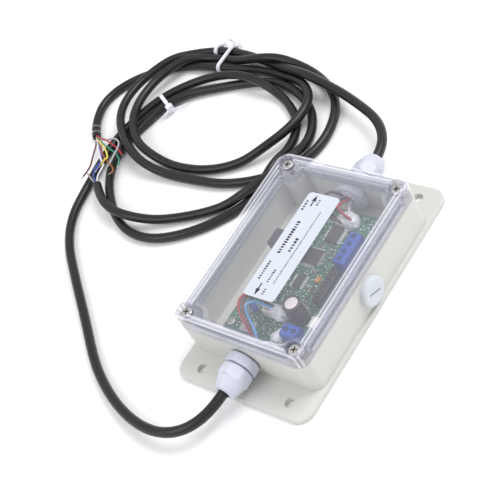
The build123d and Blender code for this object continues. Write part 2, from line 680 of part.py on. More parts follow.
FAR_TAIL_CORES = [
    [(61, 233, 4), (52, 226, 7), (44, 216, 10), (36, 212, 11)],
    [(60, 235, 3), (50, 236, 3), (40, 232, 3), (31, 225, 3)],
    [(60, 231, 5), (54, 222, 9), (50, 212, 10), (53, 204, 9)],
    [(61, 234, 6), (50, 231, 8), (40, 224, 8), (32, 217, 8.5)],
]
NEAR_TAIL_CORES = [
    [(24, 201, 6), (29, 206, 10), (36, 206, 12), (45, 203, 12)],
    [(24, 200, 8), (29, 201, 13), (38, 200, 14), (46, 196, 13)],
]


def write(name, solid):
    export_step(solid, f"parts/{name}.step")


def write_box():
    write("enclosure_base", enclosure_base())
    write("clear_lid", clear_lid())
    write("lid_gasket", lid_gasket())
    write("lid_label", lid_label())
    for number, place in enumerate(screw_places(), 1):
        write(f"lid_screw_{number}", lid_screw(place))


def write_glands():
    pieces = {
        "gland_washer": gland_washer(),
        "gland_body": gland_body(),
        "gland_seal": gland_seal(),
        "gland_cap_nut": gland_cap(),
        "gland_locknut": gland_locknut(),
    }
    for name, solid in pieces.items():
        write(f"near_{name}", solid)
        write(f"far_{name}", far_end(solid))


def write_plug():
    write("side_plug", side_plug())
    write("side_plug_seal", side_plug_seal())
    write("side_plug_locknut", side_plug_locknut())


def write_board():
    write("circuit_board", circuit_board())
    write("board_screws", board_screws())
    for name, (x, y, turn) in TERMINALS.items():
        write(name, terminal_block(x, y, turn))
    write("terminal_screws", terminal_screws())
    write("driver_chip", leaded_chip(FAR_EDGE - 18.0, -2.0, 10.4, 7.5, 2.3, 8, 1.27))
    write("processor_chip", quad_chip(FAR_EDGE - 35.0, 3.0, 10.0, 1.4, 11, 0.8))
    write("amplifier_chip", leaded_chip(-5.0, 1.5, 8.7, 4.6, 1.6, 7, 1.27))
    write("electrolytic_capacitor", electrolytic_capacitor())
    write("socket_strip", socket_strip())
    write("wire_connector", wire_connector())
    write("small_connector", small_connector())
    write("varistor", varistor())
    write("inductor", inductor())
    write("tantalum_capacitor", tantalum())
    write("chip_resistors", chip_resistors())
    write("board_sticker", board_sticker())
    write("near_glue", glue_lump(NEAR_EDGE + 3.4, -8.6, (4.6, 4.0), 4.5))
    write("far_glue", glue_lump(FAR_EDGE - 7.0, -4.5, (5.2, 7.4), 5.0))


def write_cables():
    write("near_cable", tube(NEAR_ROUTE, CABLE_R, "near cable"))
    write("far_cable", tube(FAR_ROUTE, CABLE_R, "far cable"))
    write("near_cable_end", jacket_end())
    write("far_cable_end", far_end(jacket_end()))
    write("cable_coil", cable_coil())
    write("near_cores", core_bundle(NEAR_CORES))
    write("far_cores", core_bundle(FAR_CORES))
    write("near_cable_tail_cores", core_bundle(NEAR_TAIL_CORES))
    write("far_cable_tail_cores", core_bundle(FAR_TAIL_CORES))
    write("cable_tie_1", cable_tie(150.6, 179.5, 5, 6.8, 6.8, 1))
    write("cable_tie_2", cable_tie(144.4, 167, 0, 21.6, 6.8, 1))
    write("cable_tie_3", cable_tie(99.2, 192.6, 62, 13.4, 6.8, -1))


def main():
    os.makedirs("parts", exist_ok=True)
    write_box()
    write_glands()
    write_plug()
    write_board()
    write_cables()


main()
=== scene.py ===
# %% [markdown]
# A sensor that measures distance with ultrasound can keep its electronics in a sealed box of their
# own. The box is moulded plastic with a clear lid, so that the board can be looked at without opening
# it. Two long cables leave it through screwed glands and lie beside it in one loose coil. The parts
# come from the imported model, in metres, and this file gives them their finishes and fine detail.

# %% Load the model
import math

import bmesh
import bpy
from mathutils import Matrix, Vector, noise


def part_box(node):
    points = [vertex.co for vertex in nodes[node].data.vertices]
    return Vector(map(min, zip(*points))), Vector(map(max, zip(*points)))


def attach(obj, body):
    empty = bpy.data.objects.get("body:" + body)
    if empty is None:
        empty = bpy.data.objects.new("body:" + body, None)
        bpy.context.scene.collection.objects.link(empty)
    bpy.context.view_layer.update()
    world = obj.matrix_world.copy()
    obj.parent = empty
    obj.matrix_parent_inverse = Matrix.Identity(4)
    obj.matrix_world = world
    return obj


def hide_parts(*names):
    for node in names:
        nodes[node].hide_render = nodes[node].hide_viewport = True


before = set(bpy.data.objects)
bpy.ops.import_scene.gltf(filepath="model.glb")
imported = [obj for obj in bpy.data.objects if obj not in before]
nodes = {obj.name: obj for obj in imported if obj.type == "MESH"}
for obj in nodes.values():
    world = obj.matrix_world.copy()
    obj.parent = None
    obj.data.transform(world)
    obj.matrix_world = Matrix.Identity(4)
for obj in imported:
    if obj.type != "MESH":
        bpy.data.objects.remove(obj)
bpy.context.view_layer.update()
MM = 0.001

# %% [markdown]
# The camera looks down at the box from above its near corner. Its lens is long, so the edges stay
# nearly parallel. A camera can be turned by angles or by its own axes. Axes are used here, since they
# say plainly which way it looks.

# %% Camera
CAMERA_PLACE = Vector((-0.23442, -0.37998, 0.47934))
CAMERA_FORWARD = Vector((0.35374, 0.62800, -0.69317))
CAMERA_UP = Vector((0.77390, 0.21970, 0.59398))
CAMERA_LENS = 84.262
SENSOR_WIDTH = 36
NEAREST_SEEN, FURTHEST_SEEN = 0.01, 50

lens = bpy.data.cameras.new("studio_camera")
lens.lens = CAMERA_LENS
lens.sensor_width = SENSOR_WIDTH
lens.clip_start = NEAREST_SEEN
lens.clip_end = FURTHEST_SEEN
camera = bpy.data.objects.new("studio_camera", lens)
bpy.context.collection.objects.link(camera)
camera_right = CAMERA_FORWARD.cross(CAMERA_UP)
camera_axes = Matrix((camera_right, CAMERA_UP, -CAMERA_FORWARD)).transposed()
camera.matrix_world = Matrix.Translation(CAMERA_PLACE) @ camera_axes.to_4x4()
bpy.context.scene.camera = camera
print("camera at", [round(v, 3) for v in camera.location])

# %% [markdown]
# The box stands on white paper under wide, soft lamps, so shadows are faint and gloss shows as broad
# bands. A bright world gives the even light, and two area lamps shape the plastic. The plain view
# transform keeps white paper white.

# %% Floor and light
def paint(red, green, blue):
    """A colour named by its screen values, as the linear values that a shader takes."""
    def linear(value):
        share = value / 255
        return share / 12.92 if share <= 0.04045 else ((share + 0.055) / 1.055) ** 2.4
    return (linear(red), linear(green), linear(blue), 1.0)


def lamp(name, place, target, size, power):
    """A square soft lamp that faces a point."""
    light = bpy.data.lights.new(name, "AREA")
    light.shape = "SQUARE"
    light.size = size
    light.energy = power
    holder = bpy.data.objects.new(name, light)
    holder.location = place
    holder.rotation_euler = (Vector(target) - Vector(place)).to_track_quat("-Z", "Y").to_euler()
    bpy.context.collection.objects.link(holder)


FLOOR_REACH = 12.0
FLOOR_LEVEL = -0.0002
WORLD_TINT = (0.97, 0.98, 1.0, 1)
WORLD_STRENGTH = 0.78
# place, the point that the lamp faces, size and power
LAMPS = {
    "key_lamp": ((0.55, -0.35, 0.95), (0.0, 0.05, 0.0), 0.60, 7.5),
    "fill_lamp": ((-0.75, 0.35, 0.80), (0.0, 0.08, 0.0), 0.70, 3.5),
}

floor_mesh = bpy.data.meshes.new("paper_floor")
floor_corners = [(x * FLOOR_REACH, y * FLOOR_REACH, FLOOR_LEVEL)
                 for x, y in ((-1, -1), (1, -1), (1, 1), (-1, 1))]
floor_mesh.from_pydata(floor_corners, [], [(0, 1, 2, 3)])
floor = bpy.data.objects.new("paper_floor", floor_mesh)
bpy.context.collection.objects.link(floor)

world = bpy.data.worlds.new("studio")
world.use_nodes = True
sky = world.node_tree.nodes["Background"]
sky.inputs["Color"].default_value = WORLD_TINT
sky.inputs["Strength"].default_value = WORLD_STRENGTH
bpy.context.scene.world = world
bpy.context.scene.view_settings.view_transform = "Standard"
for name, (place, target, size, power) in LAMPS.items():
    lamp(name, place, target, size, power)
print("lamps", len(LAMPS))

# %% [markdown]
# Materials and Geometry Nodes are both trees of nodes, which are added, set and linked in the same
# few calls. Writing those out each time hides what a tree does, so one helper adds a node and fills
# its inputs.

# %% Node helpers
def add_node(tree, kind, inputs, **settings):
    """Adds a node. An input, by name or number, is linked to a socket or set to a plain value."""
    node = tree.nodes.new(kind)
    for setting, value in settings.items():
        setattr(node, setting, value)
    for key, value in inputs.items():
        if isinstance(value, bpy.types.NodeSocket):
            tree.links.new(value, node.inputs[key])
        else:
            node.inputs[key].default_value = value
    return node


def math_node(tree, operation, *values, clamp=False):
    """A Math node on sockets or plain numbers. Gives its output."""
    inputs = dict(enumerate(values))
    return add_node(tree, "ShaderNodeMath", inputs, operation=operation, use_clamp=clamp).outputs[0]


def vector_node(tree, operation, first, second):
    """A Vector Math node. SCALE takes its second value as the scale. Gives the vector."""
    second_input = "Scale" if operation == "SCALE" else 1
    node = add_node(tree, "ShaderNodeVectorMath", {0: first, second_input: second}, operation=operation)
    return node.outputs["Vector"]


def noise_value(tree, scale, detail):
    """Noise between 0 and 1 over the object's own space."""
    place = tree.nodes.new("ShaderNodeTexCoord").outputs["Object"]
    node = add_node(tree, "ShaderNodeTexNoise", {"Vector": place, "Scale": scale, "Detail": detail})
    return node.outputs["Fac"]


print("node helpers", add_node.__name__, math_node.__name__, vector_node.__name__, noise_value.__name__)

# %% [markdown]
# Several finishes share two effects: a colour that drifts a little over the surface, and a fine
# relief. Each is a node group with named sockets, so one change reaches every finish that uses it. A
# third group marks what lies outside a block of space. It paints metal legs on a black chip body and
# the thick milky rim on the clear lid.

# %% Shared shader groups
def shader_group(name, inputs, output, output_kind):
    """An empty node group with named inputs and one output, and its end nodes."""
    group = bpy.data.node_groups.new(name, "ShaderNodeTree")
    for label, kind, value in inputs:
        socket = group.interface.new_socket(label, in_out="INPUT", socket_type=kind)
        socket.default_value = value
    group.interface.new_socket(output, in_out="OUTPUT", socket_type=output_kind)
    start = group.nodes.new("NodeGroupInput")
    end = group.nodes.new("NodeGroupOutput")
    return group, start, end


def make_uneven_tone():
    """A colour that gets a little darker and lighter in soft patches."""
    group, start, end = shader_group(
        "uneven tone",
        [("Colour", "NodeSocketColor", (1, 1, 1, 1)), ("Scale", "NodeSocketFloat", 60.0),
         ("Depth", "NodeSocketFloat", 0.05)],
        "Colour", "NodeSocketColor",
    )
    patches = noise_value(group, start.outputs["Scale"], 3)
    swing = math_node(group, "MULTIPLY_ADD", patches, 4.0, -2.0)
    gain = math_node(group, "MULTIPLY_ADD", swing, start.outputs["Depth"], 1.0)
    group.links.new(vector_node(group, "SCALE", start.outputs["Colour"], gain), end.inputs["Colour"])
    return group


def make_fine_relief():
    """A height that rises and falls like the skin of moulded plastic."""
    group, start, end = shader_group(
        "fine relief", [("Scale", "NodeSocketFloat", 3000.0)], "Height", "NodeSocketFloat")
    group.links.new(noise_value(group, start.outputs["Scale"], 4), end.inputs["Height"])
    return group


def make_outside_block():
    """0 inside a block of space and 1 outside it, with a soft step."""
    group, start, end = shader_group(
        "outside block",
        [("Centre", "NodeSocketVector", (0, 0, 0)), ("Half Size", "NodeSocketVector", (1, 1, 1)),
         ("Softness", "NodeSocketFloat", 0.0002)],
        "Mask", "NodeSocketFloat",
    )
    place = group.nodes.new("ShaderNodeTexCoord").outputs["Object"]
    offset = vector_node(group, "SUBTRACT", place, start.outputs["Centre"])
    away = add_node(group, "ShaderNodeVectorMath", {0: offset}, operation="ABSOLUTE").outputs["Vector"]
    past = vector_node(group, "SUBTRACT", away, start.outputs["Half Size"])
    axes = add_node(group, "ShaderNodeSeparateXYZ", {0: past})
    furthest = math_node(group, "MAXIMUM", axes.outputs["X"], axes.outputs["Y"])
    furthest = math_node(group, "MAXIMUM", furthest, axes.outputs["Z"])
    mask = math_node(group, "DIVIDE", furthest, start.outputs["Softness"], clamp=True)
    group.links.new(mask, end.inputs["Mask"])
    return group


UNEVEN_TONE = make_uneven_tone()
FINE_RELIEF = make_fine_relief()
OUTSIDE_BLOCK = make_outside_block()
print("shader groups", len(bpy.data.node_groups))

# %% [markdown]
# A moulded or painted surface is one Principled shader: a drifting colour, a roughness that varies
# with it, and a small bump. One helper builds it, and each finish passes its own values. Values that
# are the same all over the surface are set on the shader itself.

# %% Finish helpers
ROUGHNESS_SWING = 0.16
RUB_FINENESS = 3


def use_group(tree, group, values):
    """Places a node group with these inputs. Gives its output."""
    return add_node(tree, "ShaderNodeGroup", values, node_tree=group).outputs[0]


def parts_of(material):
    """A material's node tree and its shader."""
    return material.node_tree, material.node_tree.nodes["Principled BSDF"]


def finish_of(name, colour, roughness, drift=(60.0, 0.03), relief=(3000.0, 0.15, 0.00005), **plain):
    """A material with a drifting colour, an uneven roughness and a fine bump.

    drift is the colour's scale and depth, relief the bump's scale, strength and height, and plain
    holds values for the shader's own sockets.
    """
    material = bpy.data.materials.new(name)
    material.use_nodes = True
    tree, shader = parts_of(material)
    tone = use_group(tree, UNEVEN_TONE, {"Colour": paint(*colour), "Scale": drift[0], "Depth": drift[1]})
    skin = use_group(tree, FINE_RELIEF, {"Scale": relief[0]})
    bump = add_node(tree, "ShaderNodeBump", {
        "Height": skin, "Strength": relief[1], "Distance": relief[2]})
    rub = use_group(tree, FINE_RELIEF, {"Scale": drift[0] * RUB_FINENESS})
    least = roughness - ROUGHNESS_SWING / 2
    rough = math_node(tree, "MULTIPLY_ADD", rub, ROUGHNESS_SWING, least, clamp=True)
    tree.links.new(tone, shader.inputs["Base Color"])
    tree.links.new(bump.outputs["Normal"], shader.inputs["Normal"])
    tree.links.new(rough, shader.inputs["Roughness"])
    for socket, value in plain.items():
        shader.inputs[socket.replace("_", " ")].default_value = value
    return material


def repaint(tree, shader, mask, colour):
    """Paints a second colour over the first one where a mask is 1."""
    old = shader.inputs["Base Color"].links[0].from_socket
    mix = add_node(tree, "ShaderNodeMix", {0: mask, 6: old, 7: paint(*colour)}, data_type="RGBA")
    tree.links.new(mix.outputs[2], shader.inputs["Base Color"])


def wear(material, *names):
    """Gives CAD nodes a finish."""
    for name in names:
        for slot in nodes[name].material_slots:
            slot.material = material


paper = finish_of("white_paper", (250, 250, 250), 0.85, drift=(3.0, 0.004), relief=(900.0, 0.05, 0.0001))
floor.data.materials.append(paper)
print("finish", paper.name)

# %% [markdown]
# Each cable is one smooth NURBS curve with a round section, since a real cable bends evenly and never
# kinks. Its control points say how it leaves the gland, drops to the floor and winds round the loose
# coil. Where it crosses another strand it rises a diameter in a long low hump.

# %% Cable routes
CABLE_DIAMETER = 0.006
SECTION_STEPS, THIN_SECTION_STEPS = 4, 2
NEAR_ROUTE = [
    (-70, 0, 14), (-85, 0, 14), (-98, 2.6, 13.4), (-108, 9.8, 12), (-114, 22, 9.8), (-115.5, 37.5, 7.8),
    (-112.5, 56.5, 5.8), (-105, 78, 4.2), (-92, 102, 3.3), (-70, 129, 3.1), (-46, 160, 3.1),
    (-24, 187, 3.1), (-3, 201, 3.1), (20, 206, 3.1), (41, 210, 3.1), (62, 212, 3.1), (83, 208, 3.1),
    (101, 199, 4.4), (117, 185, 4.4), (127, 164, 7.0), (129, 143, 10.2), (127, 124, 10.2),
    (124, 107, 3.4), (116, 92, 3.1), (106, 80, 3.1), (93, 73, 3.6), (80, 70, 5.6), (70, 69, 9.8),
    (59, 69, 9.8), (48, 71, 5.2), (38, 75, 3.1), (26, 83, 3.1), (13, 95, 3.1), (2, 111, 3.1),
    (-4, 127, 3.1), (-4, 145, 3.1), (3, 163, 3.1), (15, 179, 3.1), (30, 193, 3.1), (46, 201, 3.1),
    (62, 202, 3.1), (80, 197, 3.1), (98, 191, 4.4), (111, 177, 4.4), (119, 161, 3.3), (126, 145, 3.1),
    (131, 130, 3.1), (133, 115, 3.1), (130, 99, 3.1), (123, 84, 3.1), (113, 72, 3.1), (100, 64, 3.2),
    (87, 61, 4.6), (76, 60.5, 9.8), (64, 61.5, 11), (52, 66.5, 12.4), (41, 76, 9.6), (32, 88, 4.2),
    (24, 101, 3.1), (16, 116, 3.4), (9, 132, 4.4), (4, 148, 9.4), (5, 165, 9.6), (11, 181, 9.0),
    (21, 194, 7.4),
]
FAR_ROUTE = [
    (70, 0, 14), (85, 0, 14), (99, 5, 13.6), (111, 17, 12.6), (120, 35, 11.2), (128, 55, 10.4),
    (133, 73, 11), (137, 91, 12.6), (142, 110, 8.4), (147.5, 129, 3.8), (151, 150, 4.2),
    (152, 170, 4.4), (149, 187, 4.4), (143, 199, 6.0), (134, 208, 9.8), (122, 216, 9.8),
    (106, 222, 9.6), (90, 222, 9.6), (76, 216, 9.6), (63, 203, 9.6), (52, 186, 9.6), (45, 169, 8.6),
    (44, 150, 3.4), (45, 128, 3.1), (47, 104, 3.1), (53, 86, 3.1), (61, 72, 3.1), (72, 60, 3.1),
    (86, 53, 3.1), (101, 52, 3.1), (116, 56, 3.1), (129, 64, 3.1), (139, 77, 3.1), (146, 92, 3.1),
    (149, 107, 5.6), (148, 121, 10.6), (145, 137, 10.6), (144, 154, 6.0), (144.5, 170, 4.4),
    (143, 184, 4.8), (136, 196, 9.6), (126, 203, 9.8), (112, 209, 9.6), (96, 210, 9.6), (81, 206, 9.6),
    (70, 198, 9.6), (60, 186, 9.4), (54, 171, 9.0), (52, 155, 4.0), (52, 140, 3.1), (54, 124, 3.1),
    (59, 110, 3.1), (67, 97, 4.0), (78, 84, 9.4), (91, 77, 9.8), (106, 73.5, 9.8), (120, 76, 9.8),
    (130, 86, 9.0), (137, 100, 4.8), (139, 114, 3.1), (141, 129, 3.1), (140, 145, 3.1), (137, 160, 4.4),
    (136, 176, 4.4), (135, 193, 3.4), (131, 209, 3.1), (124, 223, 3.1), (114, 236, 3.1),
    (102, 245, 3.1), (88, 248, 3.1), (75, 243, 3.1), (66, 237, 3.1), (59.6, 230.6, 3.1),
]


def smooth_line(name, points, radius, material=None, steps=10):
    """A round wire along one NURBS spline through listed control points, given in millimetres."""
    curve = bpy.data.curves.new(name, "CURVE")
    curve.dimensions = "3D"
    spline = curve.splines.new("NURBS")
    spline.points.add(len(points) - 1)
    for point, place in zip(spline.points, points):
        point.co = (*(v * MM for v in place), 1)
    spline.order_u = 3
    spline.use_endpoint_u = True
    spline.use_smooth = True
    curve.resolution_u = steps
    curve.bevel_depth = radius
    curve.bevel_resolution = SECTION_STEPS
    curve.use_fill_caps = True
    if material:
        curve.materials.append(material)
    line = bpy.data.objects.new(name, curve)
    bpy.context.collection.objects.link(line)
    return line


def centre_line(points, steps=10):
    """The points that such a wire follows, read from its spline, and the length along it at each."""
    bare = smooth_line("measure", points, 0.0, steps=steps)
    mesh = bpy.data.meshes.new_from_object(bare)
    places = [v.co.copy() for v in mesh.vertices]
    bpy.data.objects.remove(bare)
    lengths = [0.0]
    for before, after in zip(places, places[1:]):
        lengths.append(lengths[-1] + (after - before).length)
    return places, lengths


near_line, near_lengths = centre_line(NEAR_ROUTE)
far_line, far_lengths = centre_line(FAR_ROUTE)
print("cable lengths, mm", round(near_lengths[-1] / MM), round(far_lengths[-1] / MM))

# %% [markdown]
# The jackets are black PVC: nearly black, with a soft satin gloss and a very fine grain from the
# extruder. They aren't quite black. A little grey keeps their round form readable.

# %% Cables
jacket = finish_of("black_pvc_jacket", (17, 17, 19), 0.38, drift=(90.0, 0.10),
                   relief=(2200.0, 0.25, 0.00008))
near_cable = smooth_line("near_cable_jacket", NEAR_ROUTE, CABLE_DIAMETER / 2, jacket)
far_cable = smooth_line("far_cable_jacket", FAR_ROUTE, CABLE_DIAMETER / 2, jacket)
for cable in (near_cable, far_cable):
    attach(cable, "base")
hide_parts("near_cable", "cable_coil")
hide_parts("far_cable", "cable_coil")
wear(jacket, "near_cable_end", "far_cable_end")
print("cables", near_cable.name, far_cable.name)

# %% [markdown]
# Both cables end cut and stripped, ready to be wired up, with thin coloured conductors that spread
# out of the jacket. Each conductor is a short curve of its own, with a tinned tip. The colours are
# those that cable makers use.

# %% Conductors at the cut ends
CONDUCTOR_R = 0.0006
WIRE_COLOURS = {
    "red": (176, 40, 48), "green": (44, 136, 108), "yellow": (232, 214, 84), "orange": (150, 84, 40),
    "brown": (104, 58, 52), "white": (232, 232, 238), "violet": (126, 128, 206), "grey": (178, 174, 182),
    "blue": (58, 82, 158), "sky": (96, 160, 220), "black": (44, 44, 56),
}
wire_finish = {
    name: finish_of(f"{name}_insulation", colour, 0.36, drift=(400.0, 0.05),
                    relief=(4000.0, 0.10, 0.00003))
    for name, colour in WIRE_COLOURS.items()
}
tinned = finish_of("tinned_copper", (190, 186, 180), 0.30, drift=(900.0, 0.10), Metallic=1.0)

FAR_CONDUCTORS = {
    "red": [
        (63, 233.6, 3.6), (59, 229.4, 4.4), (56.6, 220, 8), (54, 210, 11.5), (51, 200, 12.4),
        (49, 193, 12.2), (46, 188, 11.6)],
    "green": [
        (63, 234, 3.4), (58.6, 229.4, 4), (54, 218, 7.4), (50, 208, 10.6), (47, 198, 11.4),
        (45, 192, 11.2), (42, 187, 10.6), (38, 186, 9.8)],
    "yellow": [
        (63, 234, 3.2), (58.4, 229, 3.8), (54, 220, 7), (49, 209, 10), (45, 202, 12), (40, 196, 12),
        (39, 199, 11.6), (34, 199, 11.2)],
    "orange": [
        (63, 234.2, 2.6), (58.2, 229, 3), (54, 220, 5.4), (45, 208, 10), (40, 200, 10.4),
        (37, 192, 10.4), (33, 185, 10.4), (31, 187, 9.8)],
    "brown": [
        (63, 234.4, 2.4), (58, 229.6, 2.8), (53, 226, 3), (46, 218, 7.6), (38, 211, 10.6),
        (30, 206, 11), (23, 208, 9.6)],
    "white": [
        (63, 234, 2.8), (58, 229.4, 3.2), (52, 221, 5.4), (45, 212, 9.8), (39, 204, 10.8),
        (36, 198, 10.6)],
    "violet": [
        (63, 234.3, 2.8), (57.8, 228.8, 3), (51, 219, 5.2), (44, 208, 9.4), (37, 201, 10.2),
        (30, 200, 10.4)],
    "grey": [
        (63, 233.5, 3.2), (58.8, 228.6, 3.8), (56, 216, 7), (57, 206, 11), (55, 197, 13),
        (50, 193, 13.2), (43, 192.5, 12.6), (37, 192, 11.4)],
}
NEAR_CONDUCTORS = {
    "white": [
        (18.6, 191, 7.8), (22, 194.6, 8.6), (26, 194, 12), (31, 193, 13.4), (34, 195, 12.6)],
    "blue": [
        (18.8, 191.4, 7.6), (22.4, 197, 8.2), (26, 199, 11.6), (31, 200, 12.6), (35, 199, 12.4)],
}
SHIELD_BRAID = [(18.6, 191.6, 7.4), (22, 197.6, 7), (24, 202, 9.4), (25.6, 205.6, 10)]
TIP_LENGTH = 2.2
TIP_OVERLAP = 0.9


def conductor(name, points, finish, replaced, tip=True, radius=CONDUCTOR_R):
    """A thin insulated wire, with a tinned tip that goes on in the direction of its last stretch."""
    made = [smooth_line(name, points, radius, finish, steps=8)]
    if tip:
        last, before = Vector(points[-1]), Vector(points[-2])
        onward = last + (last - before).normalized() * TIP_LENGTH
        start = before.lerp(last, TIP_OVERLAP)
        made.append(smooth_line(name + "_tip", [start, last, onward], CONDUCTOR_R / 2, tinned, 2))
    for piece in made:
        piece.data.bevel_resolution = THIN_SECTION_STEPS
        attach(piece, "base")
        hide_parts(replaced)
    return made


far_tails, near_tails = [], []
for colour, points in FAR_CONDUCTORS.items():
    far_tails += conductor(f"far_tail_{colour}", points, wire_finish[colour], "far_cable_tail_cores")
for colour, points in NEAR_CONDUCTORS.items():
    near_tails += conductor(f"near_tail_{colour}", points, wire_finish[colour], "near_cable_tail_cores")
near_tails += conductor("near_tail_shield", SHIELD_BRAID, tinned, "near_cable_tail_cores", tip=False)
print("conductors and tips", len(far_tails) + len(near_tails))

# %% [markdown]
# Two thin grey rings mark the far cable's last centimetre, where the jacket was scored and wrapped. A
# ring must sit square on the cable, so its place and direction are read from the cable's own line.

# %% Rings on the cut end
def ring_mesh(name, centre, axis, radius, thickness, around=40, section=10):
    """A closed ring of round section about an axis, its faces outwards."""
    mesh = bpy.data.meshes.new(name)
    turn = axis.to_track_quat("Z", "Y").to_matrix()
    verts, faces = [], []
    for i in range(around):
        angle = 2 * math.pi * i / around
        for j in range(section):
            lean = 2 * math.pi * j / section
            reach = radius + thickness * math.cos(lean)
            spot = Vector((reach * math.cos(angle), reach * math.sin(angle), thickness * math.sin(lean)))
            verts.append(centre + turn @ spot)
            n, m = (i + 1) % around, (j + 1) % section
            faces.append((i * section + j, n * section + j, n * section + m, i * section + m))
    mesh.from_pydata(verts, [], faces)
    for face in mesh.polygons:
        face.use_smooth = True
    return mesh


def add_mesh(name, mesh, material, body):
    """Puts a finished mesh in the scene, on its body."""
    piece = bpy.data.objects.new(name, mesh)
    bpy.context.collection.objects.link(piece)
    if material and not mesh.materials:
        mesh.materials.append(material)
    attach(piece, body)
    return piece


RING_SETBACKS = (0.0040, 0.0095)
RING_THICKNESS = 0.00034
ring_grey = finish_of("grey_marker_tape", (150, 152, 154), 0.45, drift=(500.0, 0.08))
for number, setback in enumerate(RING_SETBACKS, 1):
    index = min(range(len(far_line)), key=lambda i: abs(far_lengths[-1] - far_lengths[i] - setback))
    heading = (far_line[index] - far_line[index - 1]).normalized()
    name = f"cut_end_ring_{number}"
    mesh = ring_mesh(name, far_line[index], heading, CABLE_DIAMETER / 2, RING_THICKNESS)
    add_mesh(name, mesh, ring_grey, "base")

# %% [markdown]
# White nylon ties hold the coil. Their straps come with the model, and here they get the milky look
# of nylon, and the loose tails that stick out of the ratchet heads. A tail is a flat strip, so it is
# a curve with a flattened section.

# %% Cable ties
milky_nylon = finish_of("milky_nylon", (222, 222, 230), 0.34, drift=(150.0, 0.03),
                        relief=(1500.0, 0.12, 0.00006))
wear(milky_nylon, "cable_tie_1", "cable_tie_2", "cable_tie_3")

STRAP_HALF_THICK = 0.0004
TIE_TAILS = {
    "tie_3_tail_long": ([(93.6, 183, 4.4), (94, 179.6, 5.4), (97.6, 176.6, 4.6), (103, 174.6, 2.6)], 0.0010),
    "tie_3_tail_short": ([(92.6, 184, 4.6), (89.4, 184.6, 4.0), (86.8, 187.4, 2.4)], 0.0011),
    "tie_2_tail": ([(156.6, 167.2, 6.2), (158.0, 168.4, 8.6), (157.2, 171, 10.6)], 0.0009),
}


def flat_strip(name, points, half_width):
    """A thin flat strip of strap along a smooth line."""
    strip = smooth_line(name, points, STRAP_HALF_THICK, milky_nylon, steps=8)
    strip.data.extrude = half_width - STRAP_HALF_THICK
    strip.data.bevel_resolution = THIN_SECTION_STEPS
    strip.data.twist_mode = "Z_UP"
    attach(strip, "base")
    return strip


*tie_3_tails, tie_2_tail = [flat_strip(name, *shape) for name, shape in TIE_TAILS.items()]
print("tie tails", len(TIE_TAILS))

# %% [markdown]
# The box is ABS in a warm light grey, moulded with a faint satin texture. Real ones show a soft
# sheen, not gloss.

# %% Case finish
case_grey = finish_of("warm_grey_abs", (207, 207, 202), 0.50, drift=(22.0, 0.012),
                      relief=(1800.0, 0.16, 0.00006))
wear(case_grey, "enclosure_base")
seal_rubber = finish_of("grey_seal_rubber", (136, 140, 158), 0.60, drift=(120.0, 0.06))
wear(seal_rubber, "lid_gasket")
washer_rubber = finish_of("grey_washer_rubber", (120, 122, 130), 0.60, drift=(150.0, 0.08))
wear(washer_rubber, "near_gland_washer", "far_gland_washer", "near_gland_seal", "far_gland_seal")
print("case finishes", case_grey.name, seal_rubber.name)

# %% [markdown]
# The lid is clear polycarbonate. Glass shading with refraction would darken the board and take long
# to clean up, so the lid is a thin see-through skin instead: nearly clear face on, and denser at a
# grazing angle. The rim, where skirt, seal groove and rib stand close together, carries more plastic
# and looks milky lilac. Each moulded step of the rim gets a thin painted line in place of the light
# that the thick walls would bend: dark lines are painted shade and bright lines painted highlights.

# %% Clear lid
LID_WINDOW = (0.0544, 0.0394, 1.0)
RIM_FADE = 0.0012
RIM_ALPHA = 0.12
FACE_ALPHA, GRAZING_ALPHA, GRAZING_POWER = 0.05, 0.60, 2.4
LID_INDEX = 1.58
LID_COAT = 0.4
STEP_FADE = 0.0002
# half sizes of the moulded steps, and the width, strength and colour of the painted shade or highlight line
# at each edge
PAINTED_STEP_LINES = [
    ((0.0541, 0.0391), 0.0005, 0.30, (128, 130, 166)), ((0.0556, 0.0406), 0.0009, 0.34, (252, 252, 255)),
    ((0.0570, 0.0420), 0.0004, 0.26, (140, 142, 178)), ((0.0583, 0.0433), 0.0007, 0.34, (252, 252, 255)),
]


def make_lid_finish():
    """A see-through skin with a milky rim and a painted shade or highlight line at each moulded step."""
    material = finish_of("clear_polycarbonate", (243, 243, 253), 0.14, drift=(40.0, 0.02),
                         relief=(120.0, 0.05, 0.0002))
    tree, shader = parts_of(material)
    shader.inputs["IOR"].default_value = LID_INDEX
    shader.inputs["Coat Weight"].default_value = LID_COAT
    rim = use_group(tree, OUTSIDE_BLOCK, {"Half Size": LID_WINDOW, "Softness": RIM_FADE})
    edge = add_node(tree, "ShaderNodeLayerWeight", {"Blend": 0.5})
    glance = math_node(tree, "POWER", edge.outputs["Facing"], GRAZING_POWER)
    alpha = math_node(tree, "MULTIPLY_ADD", glance, GRAZING_ALPHA, FACE_ALPHA)
    alpha = math_node(tree, "MULTIPLY_ADD", rim, RIM_ALPHA, alpha)
    # Each step draws a painted line: the dark ones are painted shade, the bright ones painted highlights.
    for (half_x, half_y), width, strength, colour in PAINTED_STEP_LINES:
        inner, outer = [
            use_group(tree, OUTSIDE_BLOCK, {
                "Half Size": (half_x + grown, half_y + grown, 1.0), "Softness": STEP_FADE})
            for grown in (0, width)]
        line = math_node(tree, "SUBTRACT", inner, outer, clamp=True)
        repaint(tree, shader, line, colour)
        alpha = math_node(tree, "MULTIPLY_ADD", line, strength, alpha, clamp=True)
    tree.links.new(alpha, shader.inputs["Alpha"])
    return material


lid_clear = make_lid_finish()
wear(lid_clear, "clear_lid")
